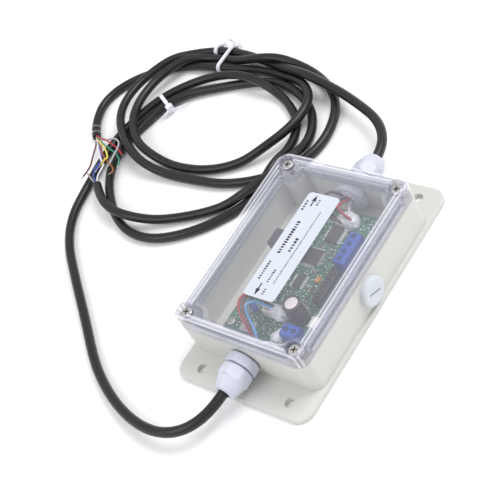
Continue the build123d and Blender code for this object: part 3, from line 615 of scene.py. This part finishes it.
# Thin grey-lilac rings at each screw well's rim and foot are painted shade lines for the dark circles that
# the clear well walls show.
well_shade_ring_finish = finish_of("well_shade_ring", (176, 176, 204), 0.2, drift=(200.0, 0.04), Alpha=0.55)
LID_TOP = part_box("clear_lid")[1][2]
# radius, depth below the lid's top, and thickness of each ring of painted shade
WELL_SHADE_RINGS = {"rim": (0.0046, 0.0, 0.00016), "foot": (0.0047, 0.0043, 0.00022)}


def middle_of(name):
    """The middle of a node's box."""
    return [(a + b) / 2 for a, b in zip(*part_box(name))]


for number in range(1, 5):
    x, y, _ = middle_of(f"lid_screw_{number}")
    for label, (radius, depth, thickness) in WELL_SHADE_RINGS.items():
        name = f"well_{label}_{number}"
        mesh = ring_mesh(name, Vector((x, y, LID_TOP - depth)), Vector((0, 0, 1)), radius, thickness)
        add_mesh(name, mesh, well_shade_ring_finish, "lid")
print("lid finish", lid_clear.name)

# %% [markdown]
# The lid screws are stainless, with a cross recess that always looks dark. The metal is a brushed
# grey, and the recess gets painted shade: everything below a set depth under the head's top is painted dark.

# %% Screws
bright_steel = finish_of("stainless_steel", (206, 204, 200), 0.28, drift=(700.0, 0.08),
                         relief=(5000.0, 0.2, 0.00004), Metallic=1.0)
screw_steel = finish_of("lid_screw_steel", (214, 211, 206), 0.26, drift=(700.0, 0.10),
                        relief=(4200.0, 0.2, 0.00004), Metallic=0.9)
RECESS_SHADE_TOP = 0.0320
tree, shader = parts_of(screw_steel)
above = use_group(tree, OUTSIDE_BLOCK, {"Half Size": (1, 1, RECESS_SHADE_TOP), "Softness": 0.0004})
# Below this height the steel is painted dark as painted shade in the cross recess.
repaint(tree, shader, math_node(tree, "SUBTRACT", 1.0, above), (96, 92, 86))
wear(screw_steel, "lid_screw_1", "lid_screw_2", "lid_screw_3", "lid_screw_4")
wear(bright_steel, "board_screws")
print("screw finishes", bright_steel.name, screw_steel.name)

# %% [markdown]
# Glands, locknuts and the blanking plug are pale nylon with a cool violet tint. Nylon scatters light,
# so its shaded sides stay bright. A weak sheen and low contrast give that look.

# %% Glands and plug
NYLON_SKIN = {"drift": (70.0, 0.02), "relief": (1400.0, 0.15, 0.00006), "Sheen_Weight": 0.15}
pale_nylon = finish_of("pale_nylon", (200, 202, 216), 0.40, **NYLON_SKIN)
plug_nylon = finish_of("plug_nylon", (202, 207, 213), 0.42, **NYLON_SKIN)
wear(pale_nylon, "near_gland_body", "far_gland_body", "near_gland_cap_nut", "far_gland_cap_nut",
     "near_gland_locknut", "far_gland_locknut")
wear(plug_nylon, "side_plug", "side_plug_locknut")
wear(washer_rubber, "side_plug_seal")
print("nylon finishes", pale_nylon.name, plug_nylon.name)

# %% [markdown]
# The board is glass-fibre laminate under green solder mask. Copper tracks show through the mask as
# lighter lines. Tracks run square to each other, so a brick pattern stands in for them, broken up by
# soft noise.

# %% Board
# scale, turn and colour of each layer of tracks
TRACK_LAYERS = [(620.0, 0.0, (104, 156, 128)), (430.0, math.pi / 2, (46, 92, 72))]
TRACK_SHAPE = {"Mortar Size": 0.035, "Mortar Smooth": 0.1, "Brick Width": 1.7, "Row Height": 0.55}
GAP_SCALE, GAP_SHARE = 180.0, 0.47

board_green = finish_of("green_solder_mask", (60, 108, 88), 0.36, drift=(160.0, 0.10),
                        relief=(2500.0, 0.1, 0.00003))
tree, shader = parts_of(board_green)
place = tree.nodes.new("ShaderNodeTexCoord").outputs["Object"]
for scale, turn, colour in TRACK_LAYERS:
    mapping = add_node(tree, "ShaderNodeMapping", {"Vector": place, "Rotation": (0, 0, turn)})
    bricks = add_node(tree, "ShaderNodeTexBrick", {
        "Vector": mapping.outputs["Vector"], "Scale": scale, **TRACK_SHAPE})
    keep = math_node(tree, "GREATER_THAN", noise_value(tree, GAP_SCALE, 1), GAP_SHARE)
    repaint(tree, shader, math_node(tree, "MULTIPLY", bricks.outputs["Fac"], keep), colour)
wear(board_green, "circuit_board")
print("board finish", board_green.name)

# %% [markdown]
# A populated board is covered with solder pads, vias and chip parts, far too many to place by hand,
# and its chips and sockets carry even rows of metal. Both are small blocks on points, so Geometry
# Nodes make them: one helper stamps the blocks, and each tree only says where its points are.

# %% Stamped blocks
SHARED_INPUTS = [
    ("Block", "NodeSocketVector"), ("Smallest", "NodeSocketVector"), ("Seed", "NodeSocketInt"),
    ("Material", "NodeSocketMaterial"),
]


def tree_with(name, inputs):
    """An empty geometry tree with named inputs and a geometry output."""
    tree = bpy.data.node_groups.new(name, "GeometryNodeTree")
    for label, kind in [*inputs, *SHARED_INPUTS]:
        tree.interface.new_socket(label, in_out="INPUT", socket_type=kind)
    tree.interface.new_socket("Geometry", in_out="OUTPUT", socket_type="NodeSocketGeometry")
    return tree, tree.nodes.new("NodeGroupInput").outputs, tree.nodes.new("NodeGroupOutput")


def stamp_blocks(tree, given, end, points, turn=(0, 0, 0)):
    """Puts a block of random size on every point, as plain mesh with a material."""
    cube = add_node(tree, "GeometryNodeMeshCube", {"Size": given["Block"]})
    size = add_node(tree, "FunctionNodeRandomValue", {
        0: given["Smallest"], 1: (1, 1, 1), "Seed": given["Seed"]}, data_type="FLOAT_VECTOR")
    stamp = add_node(tree, "GeometryNodeInstanceOnPoints", {
        "Points": points, "Instance": cube.outputs["Mesh"], "Scale": size.outputs[0], "Rotation": turn})
    real = add_node(tree, "GeometryNodeRealizeInstances", {"Geometry": stamp.outputs["Instances"]})
    colour = add_node(tree, "GeometryNodeSetMaterial", {
        "Geometry": real.outputs["Geometry"], "Material": given["Material"]})
    tree.links.new(colour.outputs["Geometry"], end.inputs["Geometry"])


def make_row_tree():
    """Blocks in a straight row with even steps."""
    tree, given, end = tree_with("row of blocks", [
        ("Count", "NodeSocketInt"), ("Start", "NodeSocketVector"), ("Step", "NodeSocketVector")])
    row = add_node(tree, "GeometryNodeMeshLine", {
        "Count": given["Count"], "Start Location": given["Start"], "Offset": given["Step"]})
    stamp_blocks(tree, given, end, row.outputs["Mesh"])
    return tree


ROW = make_row_tree()
print("row inputs", [item.name for item in ROW.interface.items_tree if item.in_out == "INPUT"])

# %% [markdown]
# Pads and chip parts lie at random on the board, but not crowded, and always square to its edges. A
# Poisson spread keeps the points of one kind apart, and a random whole number of quarter turns lays
# each block along X or Y. The seed is fixed, so the board comes out the same every time.

# %% Scattered blocks
def make_scatter_tree():
    """Blocks at random places on a rectangle, each along X or along Y."""
    tree, given, end = tree_with("scattered blocks", [
        ("Length", "NodeSocketFloat"), ("Width", "NodeSocketFloat"), ("Centre", "NodeSocketVector"),
        ("Density", "NodeSocketFloat"), ("Spacing", "NodeSocketFloat")])
    area = add_node(tree, "GeometryNodeMeshGrid", {
        "Size X": given["Length"], "Size Y": given["Width"], "Vertices X": 2, "Vertices Y": 2})
    moved = add_node(tree, "GeometryNodeTransform", {
        "Geometry": area.outputs["Mesh"], "Translation": given["Centre"]})
    spread = add_node(tree, "GeometryNodeDistributePointsOnFaces", {
        "Mesh": moved.outputs["Geometry"], "Distance Min": given["Spacing"],
        "Density Max": given["Density"], "Seed": given["Seed"]}, distribute_method="POISSON")
    quarters = add_node(tree, "FunctionNodeRandomValue", {
        4: 0, 5: 1, "Seed": given["Seed"]}, data_type="INT")
    angle = math_node(tree, "MULTIPLY", quarters.outputs[2], math.pi / 2)
    turn = add_node(tree, "ShaderNodeCombineXYZ", {"Z": angle})
    stamp_blocks(tree, given, end, spread.outputs["Points"], turn.outputs[0])
    return tree


SCATTER = make_scatter_tree()
print("scatter inputs", [item.name for item in SCATTER.interface.items_tree if item.in_out == "INPUT"])

# %% [markdown]
# A tree runs as a modifier on an empty host. Its result is kept as one plain mesh, because instances
# are lost when a model leaves Blender. A modifier knows its inputs by identifier, so the names are
# looked up first.

# %% Small parts on the board
BLOCK_FACES = 6


def grow(tree, name, values, body):
    """Runs a geometry tree with these inputs and keeps the result as one plain mesh."""
    host = bpy.data.objects.new(name + "_host", bpy.data.meshes.new(name + "_host"))
    bpy.context.collection.objects.link(host)
    modifier = host.modifiers.new(tree.name, "NODES")
    modifier.node_group = tree
    for item in tree.interface.items_tree:
        if item.in_out == "INPUT":
            modifier[item.identifier] = values[item.name]
    graph = bpy.context.evaluated_depsgraph_get()
    mesh = bpy.data.meshes.new_from_object(host.evaluated_get(graph), depsgraph=graph)
    bpy.data.objects.remove(host)
    mesh.name = name
    return add_mesh(name, mesh, None, body)


board_low, board_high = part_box("circuit_board")
BOARD_TOP = board_high[2]
solder = finish_of("solder", (238, 240, 242), 0.36, drift=(900.0, 0.10), Metallic=0.1)
part_dark = finish_of("dark_chip_parts", (62, 60, 66), 0.40, drift=(700.0, 0.15))
part_tan = finish_of("tan_ceramic", (176, 150, 118), 0.38, drift=(700.0, 0.12))
legend_white = finish_of("white_legend_ink", (214, 222, 218), 0.55, drift=(500.0, 0.06))
EDGE_MARGIN = 0.004
board_middle = middle_of("circuit_board")
# finish, height over the board, block, its smallest share, points per square metre, spacing and seed
SCATTERED = {
    "solder_pads": (solder, 0.00010, (0.0011, 0.0008, 0.0002), (0.4, 0.5, 1.0), 160000.0, 0.0014, 3),
    "board_legend": (legend_white, 0.00006, (0.0026, 0.0003, 0.00008), (0.3, 1.0, 1.0), 60000.0, 0.0026, 7),
    "dark_chip_parts": (part_dark, 0.00030, (0.0019, 0.0011, 0.0006), (0.6, 0.7, 0.8), 30000.0, 0.0034, 11),
    "tan_chip_parts": (part_tan, 0.00032, (0.0016, 0.0009, 0.0006), (0.6, 0.7, 0.8), 9000.0, 0.0050, 19),
}
board_length = board_high[0] - board_low[0] - EDGE_MARGIN
board_width = board_high[1] - board_low[1] - EDGE_MARGIN
for name, (material, lift, block, smallest, density, spacing, seed) in SCATTERED.items():
    piece = grow(SCATTER, name, {
        "Length": board_length, "Width": board_width,
        "Centre": (board_middle[0], board_middle[1], BOARD_TOP + lift), "Density": density,
        "Spacing": spacing, "Block": block, "Smallest": smallest, "Seed": seed, "Material": material,
    }, "base")
    print(name, len(piece.data.polygons) // BLOCK_FACES, "blocks")

# %% [markdown]
# Chips are black epoxy with bright legs. Body and legs are one solid in the model, so the finish
# tells them apart by place: outside the body's block it is tinned metal.

# %% Chips
LEG_REACH = 0.0016
LEG_METAL = 0.6
PAST_BODY = -0.001
CHIP_PITCH = 0.00127
FOOT_INSET = 0.0004
FOOT = {"Block": (0.0009, 0.0021, 0.0011), "Smallest": (0.8, 0.6, 0.7), "Material": solder}
# how far the body lies inside the chip's box on each axis
CHIP_MARGINS = {
    "driver_chip": (PAST_BODY, LEG_REACH, PAST_BODY),
    "amplifier_chip": (PAST_BODY, LEG_REACH, PAST_BODY),
    "processor_chip": (LEG_REACH, LEG_REACH, PAST_BODY),
}


def make_chip_finish(name, margin):
    """Epoxy inside the chip's own body and bright metal outside it."""
    half = [(b - a) / 2 - m for a, b, m in zip(*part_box(name), margin)]
    material = finish_of(f"{name}_epoxy", (66, 66, 72), 0.42, drift=(300.0, 0.10),
                         relief=(6000.0, 0.2, 0.00004))
    tree, shader = parts_of(material)
    legs = use_group(tree, OUTSIDE_BLOCK, {
        "Centre": middle_of(name), "Half Size": half, "Softness": 0.00005})
    repaint(tree, shader, legs, (222, 224, 228))
    tree.links.new(math_node(tree, "MULTIPLY", legs, LEG_METAL), shader.inputs["Metallic"])
    wear(material, name)


def add_feet(name, count):
    """A row of bright solder feet along each long side of a chip."""
    low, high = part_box(name)
    first = (low[0] + high[0]) / 2 - (count - 1) / 2 * CHIP_PITCH
    for label, y in (("front", low[1] + FOOT_INSET), ("back", high[1] - FOOT_INSET)):
        grow(ROW, f"{name}_{label}_feet", {
            "Count": count, "Start": (first, y, BOARD_TOP + FOOT_INSET), "Step": (CHIP_PITCH, 0, 0),
            "Seed": count, **FOOT}, "base")


add_feet("driver_chip", 8)
add_feet("amplifier_chip", 7)
for name, margin in CHIP_MARGINS.items():
    make_chip_finish(name, margin)
black_epoxy = finish_of("black_epoxy", (52, 52, 58), 0.44, drift=(300.0, 0.10),
                        relief=(5000.0, 0.2, 0.00004))
wear(black_epoxy, "inductor", "socket_strip")
ceramic = finish_of("chip_ceramic_dark", (88, 84, 84), 0.40, drift=(800.0, 0.15))
wear(ceramic, "chip_resistors")
tantalum = finish_of("orange_tantalum", (214, 150, 84), 0.40, drift=(500.0, 0.06))
wear(tantalum, "tantalum_capacitor")
print("chip finishes", len([m for m in bpy.data.materials if "epoxy" in m.name]))

# %% [markdown]
# The screw terminals are blue nylon, the plugs white nylon, and the varistor has a thick blue
# lacquer. Each is a plain moulded or dipped part with the right shape in the model, so a finish is
# all it needs.

# %% Terminals, plugs and varistor
blue_nylon = finish_of("blue_clamp_nylon", (52, 88, 178), 0.36, drift=(200.0, 0.05),
                       relief=(2500.0, 0.12, 0.00004))
wear(blue_nylon, "terminal_block_inner", "terminal_block_outer", "terminal_block_near")
screw_dark = finish_of("shaded_clamp_screw", (70, 82, 140), 0.40, drift=(800.0, 0.12), Metallic=0.5)
wear(screw_dark, "terminal_screws")
white_nylon = finish_of("white_plug_nylon", (226, 224, 216), 0.44, drift=(200.0, 0.04))
wear(white_nylon, "wire_connector", "small_connector")
varistor_blue = finish_of("varistor_lacquer", (48, 96, 190), 0.22, drift=(300.0, 0.08), Coat_Weight=0.5)
wear(varistor_blue, "varistor")
sticker_white = finish_of("sticker_white", (218, 216, 218), 0.50, drift=(300.0, 0.05))
wear(sticker_white, "board_sticker")
print("terminal finishes", blue_nylon.name, white_nylon.name)

# %% [markdown]
# The tall electrolytic capacitor wears a dark sleeve with one pale stripe. Its aluminium top is a
# separate disc with the scored cross that lets it vent. The disc is a low dome, pressed into the top
# of the can.

# %% Electrolytic capacitor
STRIPE_OFFSET, STRIPE_MIDDLE = (0.0048, -0.0032), 0.012
VENT_RADIUS, VENT_HEIGHT, VENT_GROOVE, VENT_SINK = 0.00385, 0.0004, 0.00035, 0.00034
can_x, can_y, _ = middle_of("electrolytic_capacitor")
can_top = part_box("electrolytic_capacitor")[1][2]
sleeve = finish_of("capacitor_sleeve", (58, 58, 66), 0.34, drift=(200.0, 0.06))
tree, shader = parts_of(sleeve)
off_stripe = use_group(tree, OUTSIDE_BLOCK, {
    "Centre": (can_x + STRIPE_OFFSET[0], can_y + STRIPE_OFFSET[1], STRIPE_MIDDLE),
    "Half Size": (0.0014, 0.0014, 0.0125), "Softness": 0.0001})
repaint(tree, shader, math_node(tree, "SUBTRACT", 1.0, off_stripe), (206, 206, 212))


def mesh_from(shape, name):
    """Turns a working shape into a mesh and frees it."""
    mesh = bpy.data.meshes.new(name)
    shape.to_mesh(mesh)
    shape.free()
    return mesh


def vent_disc(name, radius, height, grooves, rings=10, around=48):
    """A low dome with a scored cross, as a closed mesh."""
    shape = bmesh.new()
    peak = shape.verts.new((0, 0, height))
    loops = []
    for r in range(1, rings + 1):
        share = r / rings
        loop = []
        for a in range(around):
            angle = 2 * math.pi * a / around
            x, y = radius * share * math.cos(angle), radius * share * math.sin(angle)
            rise = height * (1 - share ** 3)
            scored = min(abs(x), abs(y)) < grooves and share < 0.85
            loop.append(shape.verts.new((x, y, rise - (grooves / 2 if scored else 0))))
        loops.append(loop)
    for a in range(around):
        n = (a + 1) % around
        shape.faces.new((peak, loops[0][a], loops[0][n]))
        for inner, outer in zip(loops, loops[1:]):
            shape.faces.new((inner[a], outer[a], outer[n], inner[n]))
    shape.faces.new(list(reversed(loops[-1])))
    bmesh.ops.translate(shape, verts=shape.verts, vec=(can_x, can_y, can_top - VENT_SINK))
    bmesh.ops.recalc_face_normals(shape, faces=shape.faces)
    return mesh_from(shape, name)


wear(sleeve, "electrolytic_capacitor")
aluminium = finish_of("vent_aluminium", (238, 226, 230), 0.42, drift=(400.0, 0.03), Metallic=0.15)
vent_mesh = vent_disc("capacitor_vent", VENT_RADIUS, VENT_HEIGHT, VENT_GROOVE)
add_mesh("capacitor_vent", vent_mesh, aluminium, "base")
print("vent faces", len(vent_mesh.polygons))

# %% [markdown]
# The socket strip has one bright contact in each of its ways, and solder joints stand along the
# board's edge. These are plain rows, so the row tree makes them.

# %% Contacts and solder joints
WAYS, PITCH = 8, 0.00254
CONTACT_HEIGHT = 0.0066
JOINTS, JOINT_STEP, FIRST_JOINT, JOINT_INSET = 14, 0.0030, -0.0200, 0.0022
strip_x, strip_y, _ = middle_of("socket_strip")
contacts = grow(ROW, "socket_contacts", {
    "Count": WAYS, "Start": (strip_x - (WAYS - 1) / 2 * PITCH, strip_y, BOARD_TOP + CONTACT_HEIGHT),
    "Step": (PITCH, 0, 0), "Block": (0.0006, 0.0018, 0.0010), "Smallest": (1, 1, 1), "Seed": 1,
    "Material": solder,
}, "base")
edge_joints = grow(ROW, "edge_solder_joints", {
    "Count": JOINTS, "Start": (FIRST_JOINT, board_low[1] + JOINT_INSET, BOARD_TOP + 0.0002),
    "Step": (JOINT_STEP, 0, 0), "Block": (0.0012, 0.0018, 0.0004), "Smallest": (0.7, 0.6, 0.8),
    "Seed": 5, "Material": solder,
}, "base")
for row in (contacts, edge_joints):
    print(row.name, len(row.data.polygons) // BLOCK_FACES)

# %% [markdown]
# Lumps of hot glue hold the wires where they come in. Set glue is a soft, milky blob with a skin that
# flowed and froze, so each lump starts as a round ball that is flattened and pushed about by smooth
# noise.

# %% Glue lumps
SLOW_WAVE, SLOW_SWELL = 1.6, 0.20
QUICK_WAVE, QUICK_SWELL = 4.3, 0.07
glue = finish_of("hot_melt_glue", (226, 226, 230), 0.26, drift=(160.0, 0.03),
                 relief=(700.0, 0.2, 0.0002), Coat_Weight=0.3)

FLAT_UNDER = -0.12
# centre, with its height over the board, radii, seed, and the model's lump that it stands for
GLUE_LUMPS = {
    "near_glue_lump": ((-0.0410, -0.0086, 0.0006), (0.0054, 0.0044, 0.0048), 2, "near_glue"),
    "far_glue_lump": ((0.0398, -0.0048, 0.0006), (0.0060, 0.0078, 0.0056), 9, "far_glue"),
    "connector_glue_lump": ((-0.0282, -0.0016, 0.0030), (0.0042, 0.0070, 0.0050), 5, None),
}


def glue_lump(name, centre, radii, seed, replaced):
    """A flattened ball with a frozen, wavy skin, flat underneath."""
    shape = bmesh.new()
    bmesh.ops.create_icosphere(shape, subdivisions=5, radius=1.0)
    for vert in shape.verts:
        swell = 1 + SLOW_SWELL * noise.noise(vert.co * SLOW_WAVE + Vector((seed, 0, 0)))
        swell += QUICK_SWELL * noise.noise(vert.co * QUICK_WAVE + Vector((0, seed, 0)))
        place = vert.co * swell
        vert.co = (place.x * radii[0], place.y * radii[1], max(place.z, FLAT_UNDER) * radii[2])
    bmesh.ops.translate(shape, verts=shape.verts, vec=centre)
    mesh = mesh_from(shape, name)
    for face in mesh.polygons:
        face.use_smooth = True
    lump = add_mesh(name, mesh, glue, "base")
    if replaced:
        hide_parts(replaced)
    return lump


for name, ((x, y, lift), radii, seed, replaced) in GLUE_LUMPS.items():
    lump = glue_lump(name, (x, y, BOARD_TOP + lift), radii, seed, replaced)
    print(name, len(lump.data.polygons), "faces")

# %% [markdown]
# Inside, each conductor loops up from the cut jacket and down to its plug or terminal. The loops are
# short, springy curves, so each one gets its own control points.

# %% Inner wires
INNER_WIRE_R = 0.0008
INNER_WIRES = {
    "near_inner_red": ("red", "near_cores", [
        (-53.8, 1.4, 15), (-49, 2.4, 15.6), (-44, 8, 18), (-38, 18, 20.5), (-30, 22.5, 21),
        (-24, 17, 20.5), (-24.5, 9, 18.5), (-28, 5.6, 16.5), (-28, 5.5, 13)]),
    "near_inner_brown": ("brown", "near_cores", [
        (-53.8, -0.2, 15.6), (-49, 0.6, 16.4), (-44, 5, 20), (-37, 15, 22), (-30, 18.8, 22.4),
        (-26.2, 13, 21.8), (-27, 6, 19.6), (-28, 2.8, 17), (-28, 2.5, 13)]),
    "near_inner_blue": ("sky", "near_cores", [
        (-53.8, -1.6, 14.4), (-49, -1.2, 15.6), (-44, 2.6, 19.4), (-39, 10, 21.4), (-33.5, 15, 22),
        (-29.6, 11, 21), (-28.6, 5, 18.6), (-28, -0.4, 16), (-28, -0.4, 13)]),
    "near_inner_pale": ("white", "near_cores", [
        (-53.8, -0.6, 13.2), (-49, -0.4, 14.6), (-44.4, 3.4, 18), (-39.6, 10.8, 20),
        (-34.4, 16.6, 20.6), (-29.4, 14, 20), (-28.6, 8, 18), (-28, 4.4, 13)]),
    "near_inner_white": ("white", "near_cores", [
        (-53.8, 0, 12.6), (-49.8, -1.4, 12.8), (-46.6, -5, 13.6), (-47, -11, 14.2), (-45.6, -16, 13),
        (-41.6, -16.1, 12.5)]),
    "far_inner_brown": ("brown", "far_cores", [
        (53.8, 1.6, 14.8), (49.4, 2.2, 15.8), (45, 6, 19.4), (39, 8, 20), (35.6, 3, 17.6),
        (35.4, -3, 15.5), (35.6, -4.4, 12.5)]),
    "far_inner_red": ("red", "far_cores", [
        (53.8, -0.4, 15.6), (49.4, -0.6, 16.4), (45.5, -0.5, 19), (41.4, 1, 20), (39, -5, 17.5),
        (38.6, -9, 15.5), (38.4, -9.4, 12)]),
    "far_inner_white": ("white", "far_cores", [
        (53.8, 0, 12.6), (50, -0.6, 12.6), (47, -2, 13.4), (44, -4, 13.6), (41, -6, 12)]),
    "far_inner_dark": ("black", "far_cores", [
        (53.8, 1.0, 15.4), (50.6, 3, 18), (49.6, 7.4, 22), (46, 10.4, 23), (41, 9, 20.5), (38, 4, 16),
        (37, 0, 12)]),
}
for name, (colour, replaced, points) in INNER_WIRES.items():
    conductor(name, points, wire_finish[colour], replaced, tip=False, radius=INNER_WIRE_R)
print("inner wires", len(INNER_WIRES))

# %% [markdown]
# The label is white film on the lid. A real one carries arrows and rows of small print. Only generic
# marks are made here: two arrows, and rows of plain dark bars of uneven length that no one can read.
# The marks are thin blocks on the film, so they stay crisp from any side.

# %% Label
film = finish_of("white_label_film", (203, 208, 217), 0.40, drift=(80.0, 0.015),
                 relief=(600.0, 0.06, 0.00005))
wear(film, "lid_label")
ink = finish_of("black_label_ink", (40, 40, 46), 0.50, drift=(900.0, 0.15))
LABEL_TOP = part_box("lid_label")[1][2]
INK_THICK = 0.00006
ARROW_HALF_WIDTH = 1.5
# corners of an arrow, as shares of its length and of its half width
ARROW_OUTLINE = [(0, -0.26), (0.50, -0.26), (0.44, -1.0), (1.0, 0), (0.44, 1.0), (0.50, 0.26), (0, 0.26)]
ARROWS = {"far_arrow": ((28.6, 3.6), (36.4, 3.6)), "near_arrow": ((-24.6, 2.0), (-32.6, 2.0))}


def arrow_mesh(name, tail, tip):
    """A flat arrow of ink between two points, with a barbed head."""
    length = (Vector(tip) - Vector(tail)).length
    along = (Vector(tip) - Vector(tail)).normalized()
    across = Vector((-along.y, along.x))
    shape = bmesh.new()
    corners = []
    for share, side in ARROW_OUTLINE:
        spot = Vector(tail) + along * length * share + across * ARROW_HALF_WIDTH * side
        corners.append(shape.verts.new((spot.x * MM, spot.y * MM, LABEL_TOP)))
    face = shape.faces.new(corners)
    raised = bmesh.ops.extrude_face_region(shape, geom=[face])
    tops = [v for v in raised["geom"] if isinstance(v, bmesh.types.BMVert)]
    bmesh.ops.translate(shape, verts=tops, vec=(0, 0, INK_THICK))
    bmesh.ops.recalc_face_normals(shape, faces=shape.faces)
    return mesh_from(shape, name)


for name, (tail, tip) in ARROWS.items():
    add_mesh(name, arrow_mesh(name, tail, tip), ink, "lid")
print("arrows", len(ARROWS))

# %% [markdown]
# A row of print is the same row of blocks that made the chips' feet, laid flat and thin. Each row has
# its own seed, so the lengths of its bars differ from the next row's.

# %% Print rows
# first X, Y, count, step, bar length and bar height
PRINT_ROWS = {
    "print_main": (-4.0, 4.2, 13, 1.75, 1.25, 2.3),
    "print_middle": (-1.6, -1.6, 5, 2.0, 1.5, 2.0),
    "print_fine": (-22.8, -4.9, 38, 1.32, 0.9, 0.75),
    "print_near_upper": (-22.2, 5.7, 8, 1.6, 1.05, 1.5),
    "print_near_lower": (-22.8, -0.7, 6, 1.5, 1.0, 1.3),
    "print_near_side": (-30.6, -2.4, 3, 1.5, 1.0, 1.5),
    "print_far_side": (30.4, 0.2, 3, 1.5, 1.0, 1.5),
    "print_corner": (25.6, 7.4, 4, 1.9, 1.4, 1.6),
}
FIRST_SEED = 30
for seed, (name, (x, y, count, step, length, height)) in enumerate(PRINT_ROWS.items(), FIRST_SEED):
    grow(ROW, name, {
        "Count": count, "Start": (x * MM, y * MM, LABEL_TOP + INK_THICK / 2), "Step": (step * MM, 0, 0),
        "Block": (length * MM, height * MM, INK_THICK), "Smallest": (0.55, 0.75, 1.0), "Seed": seed,
        "Material": ink,
    }, "lid")
print("print rows", len(PRINT_ROWS))
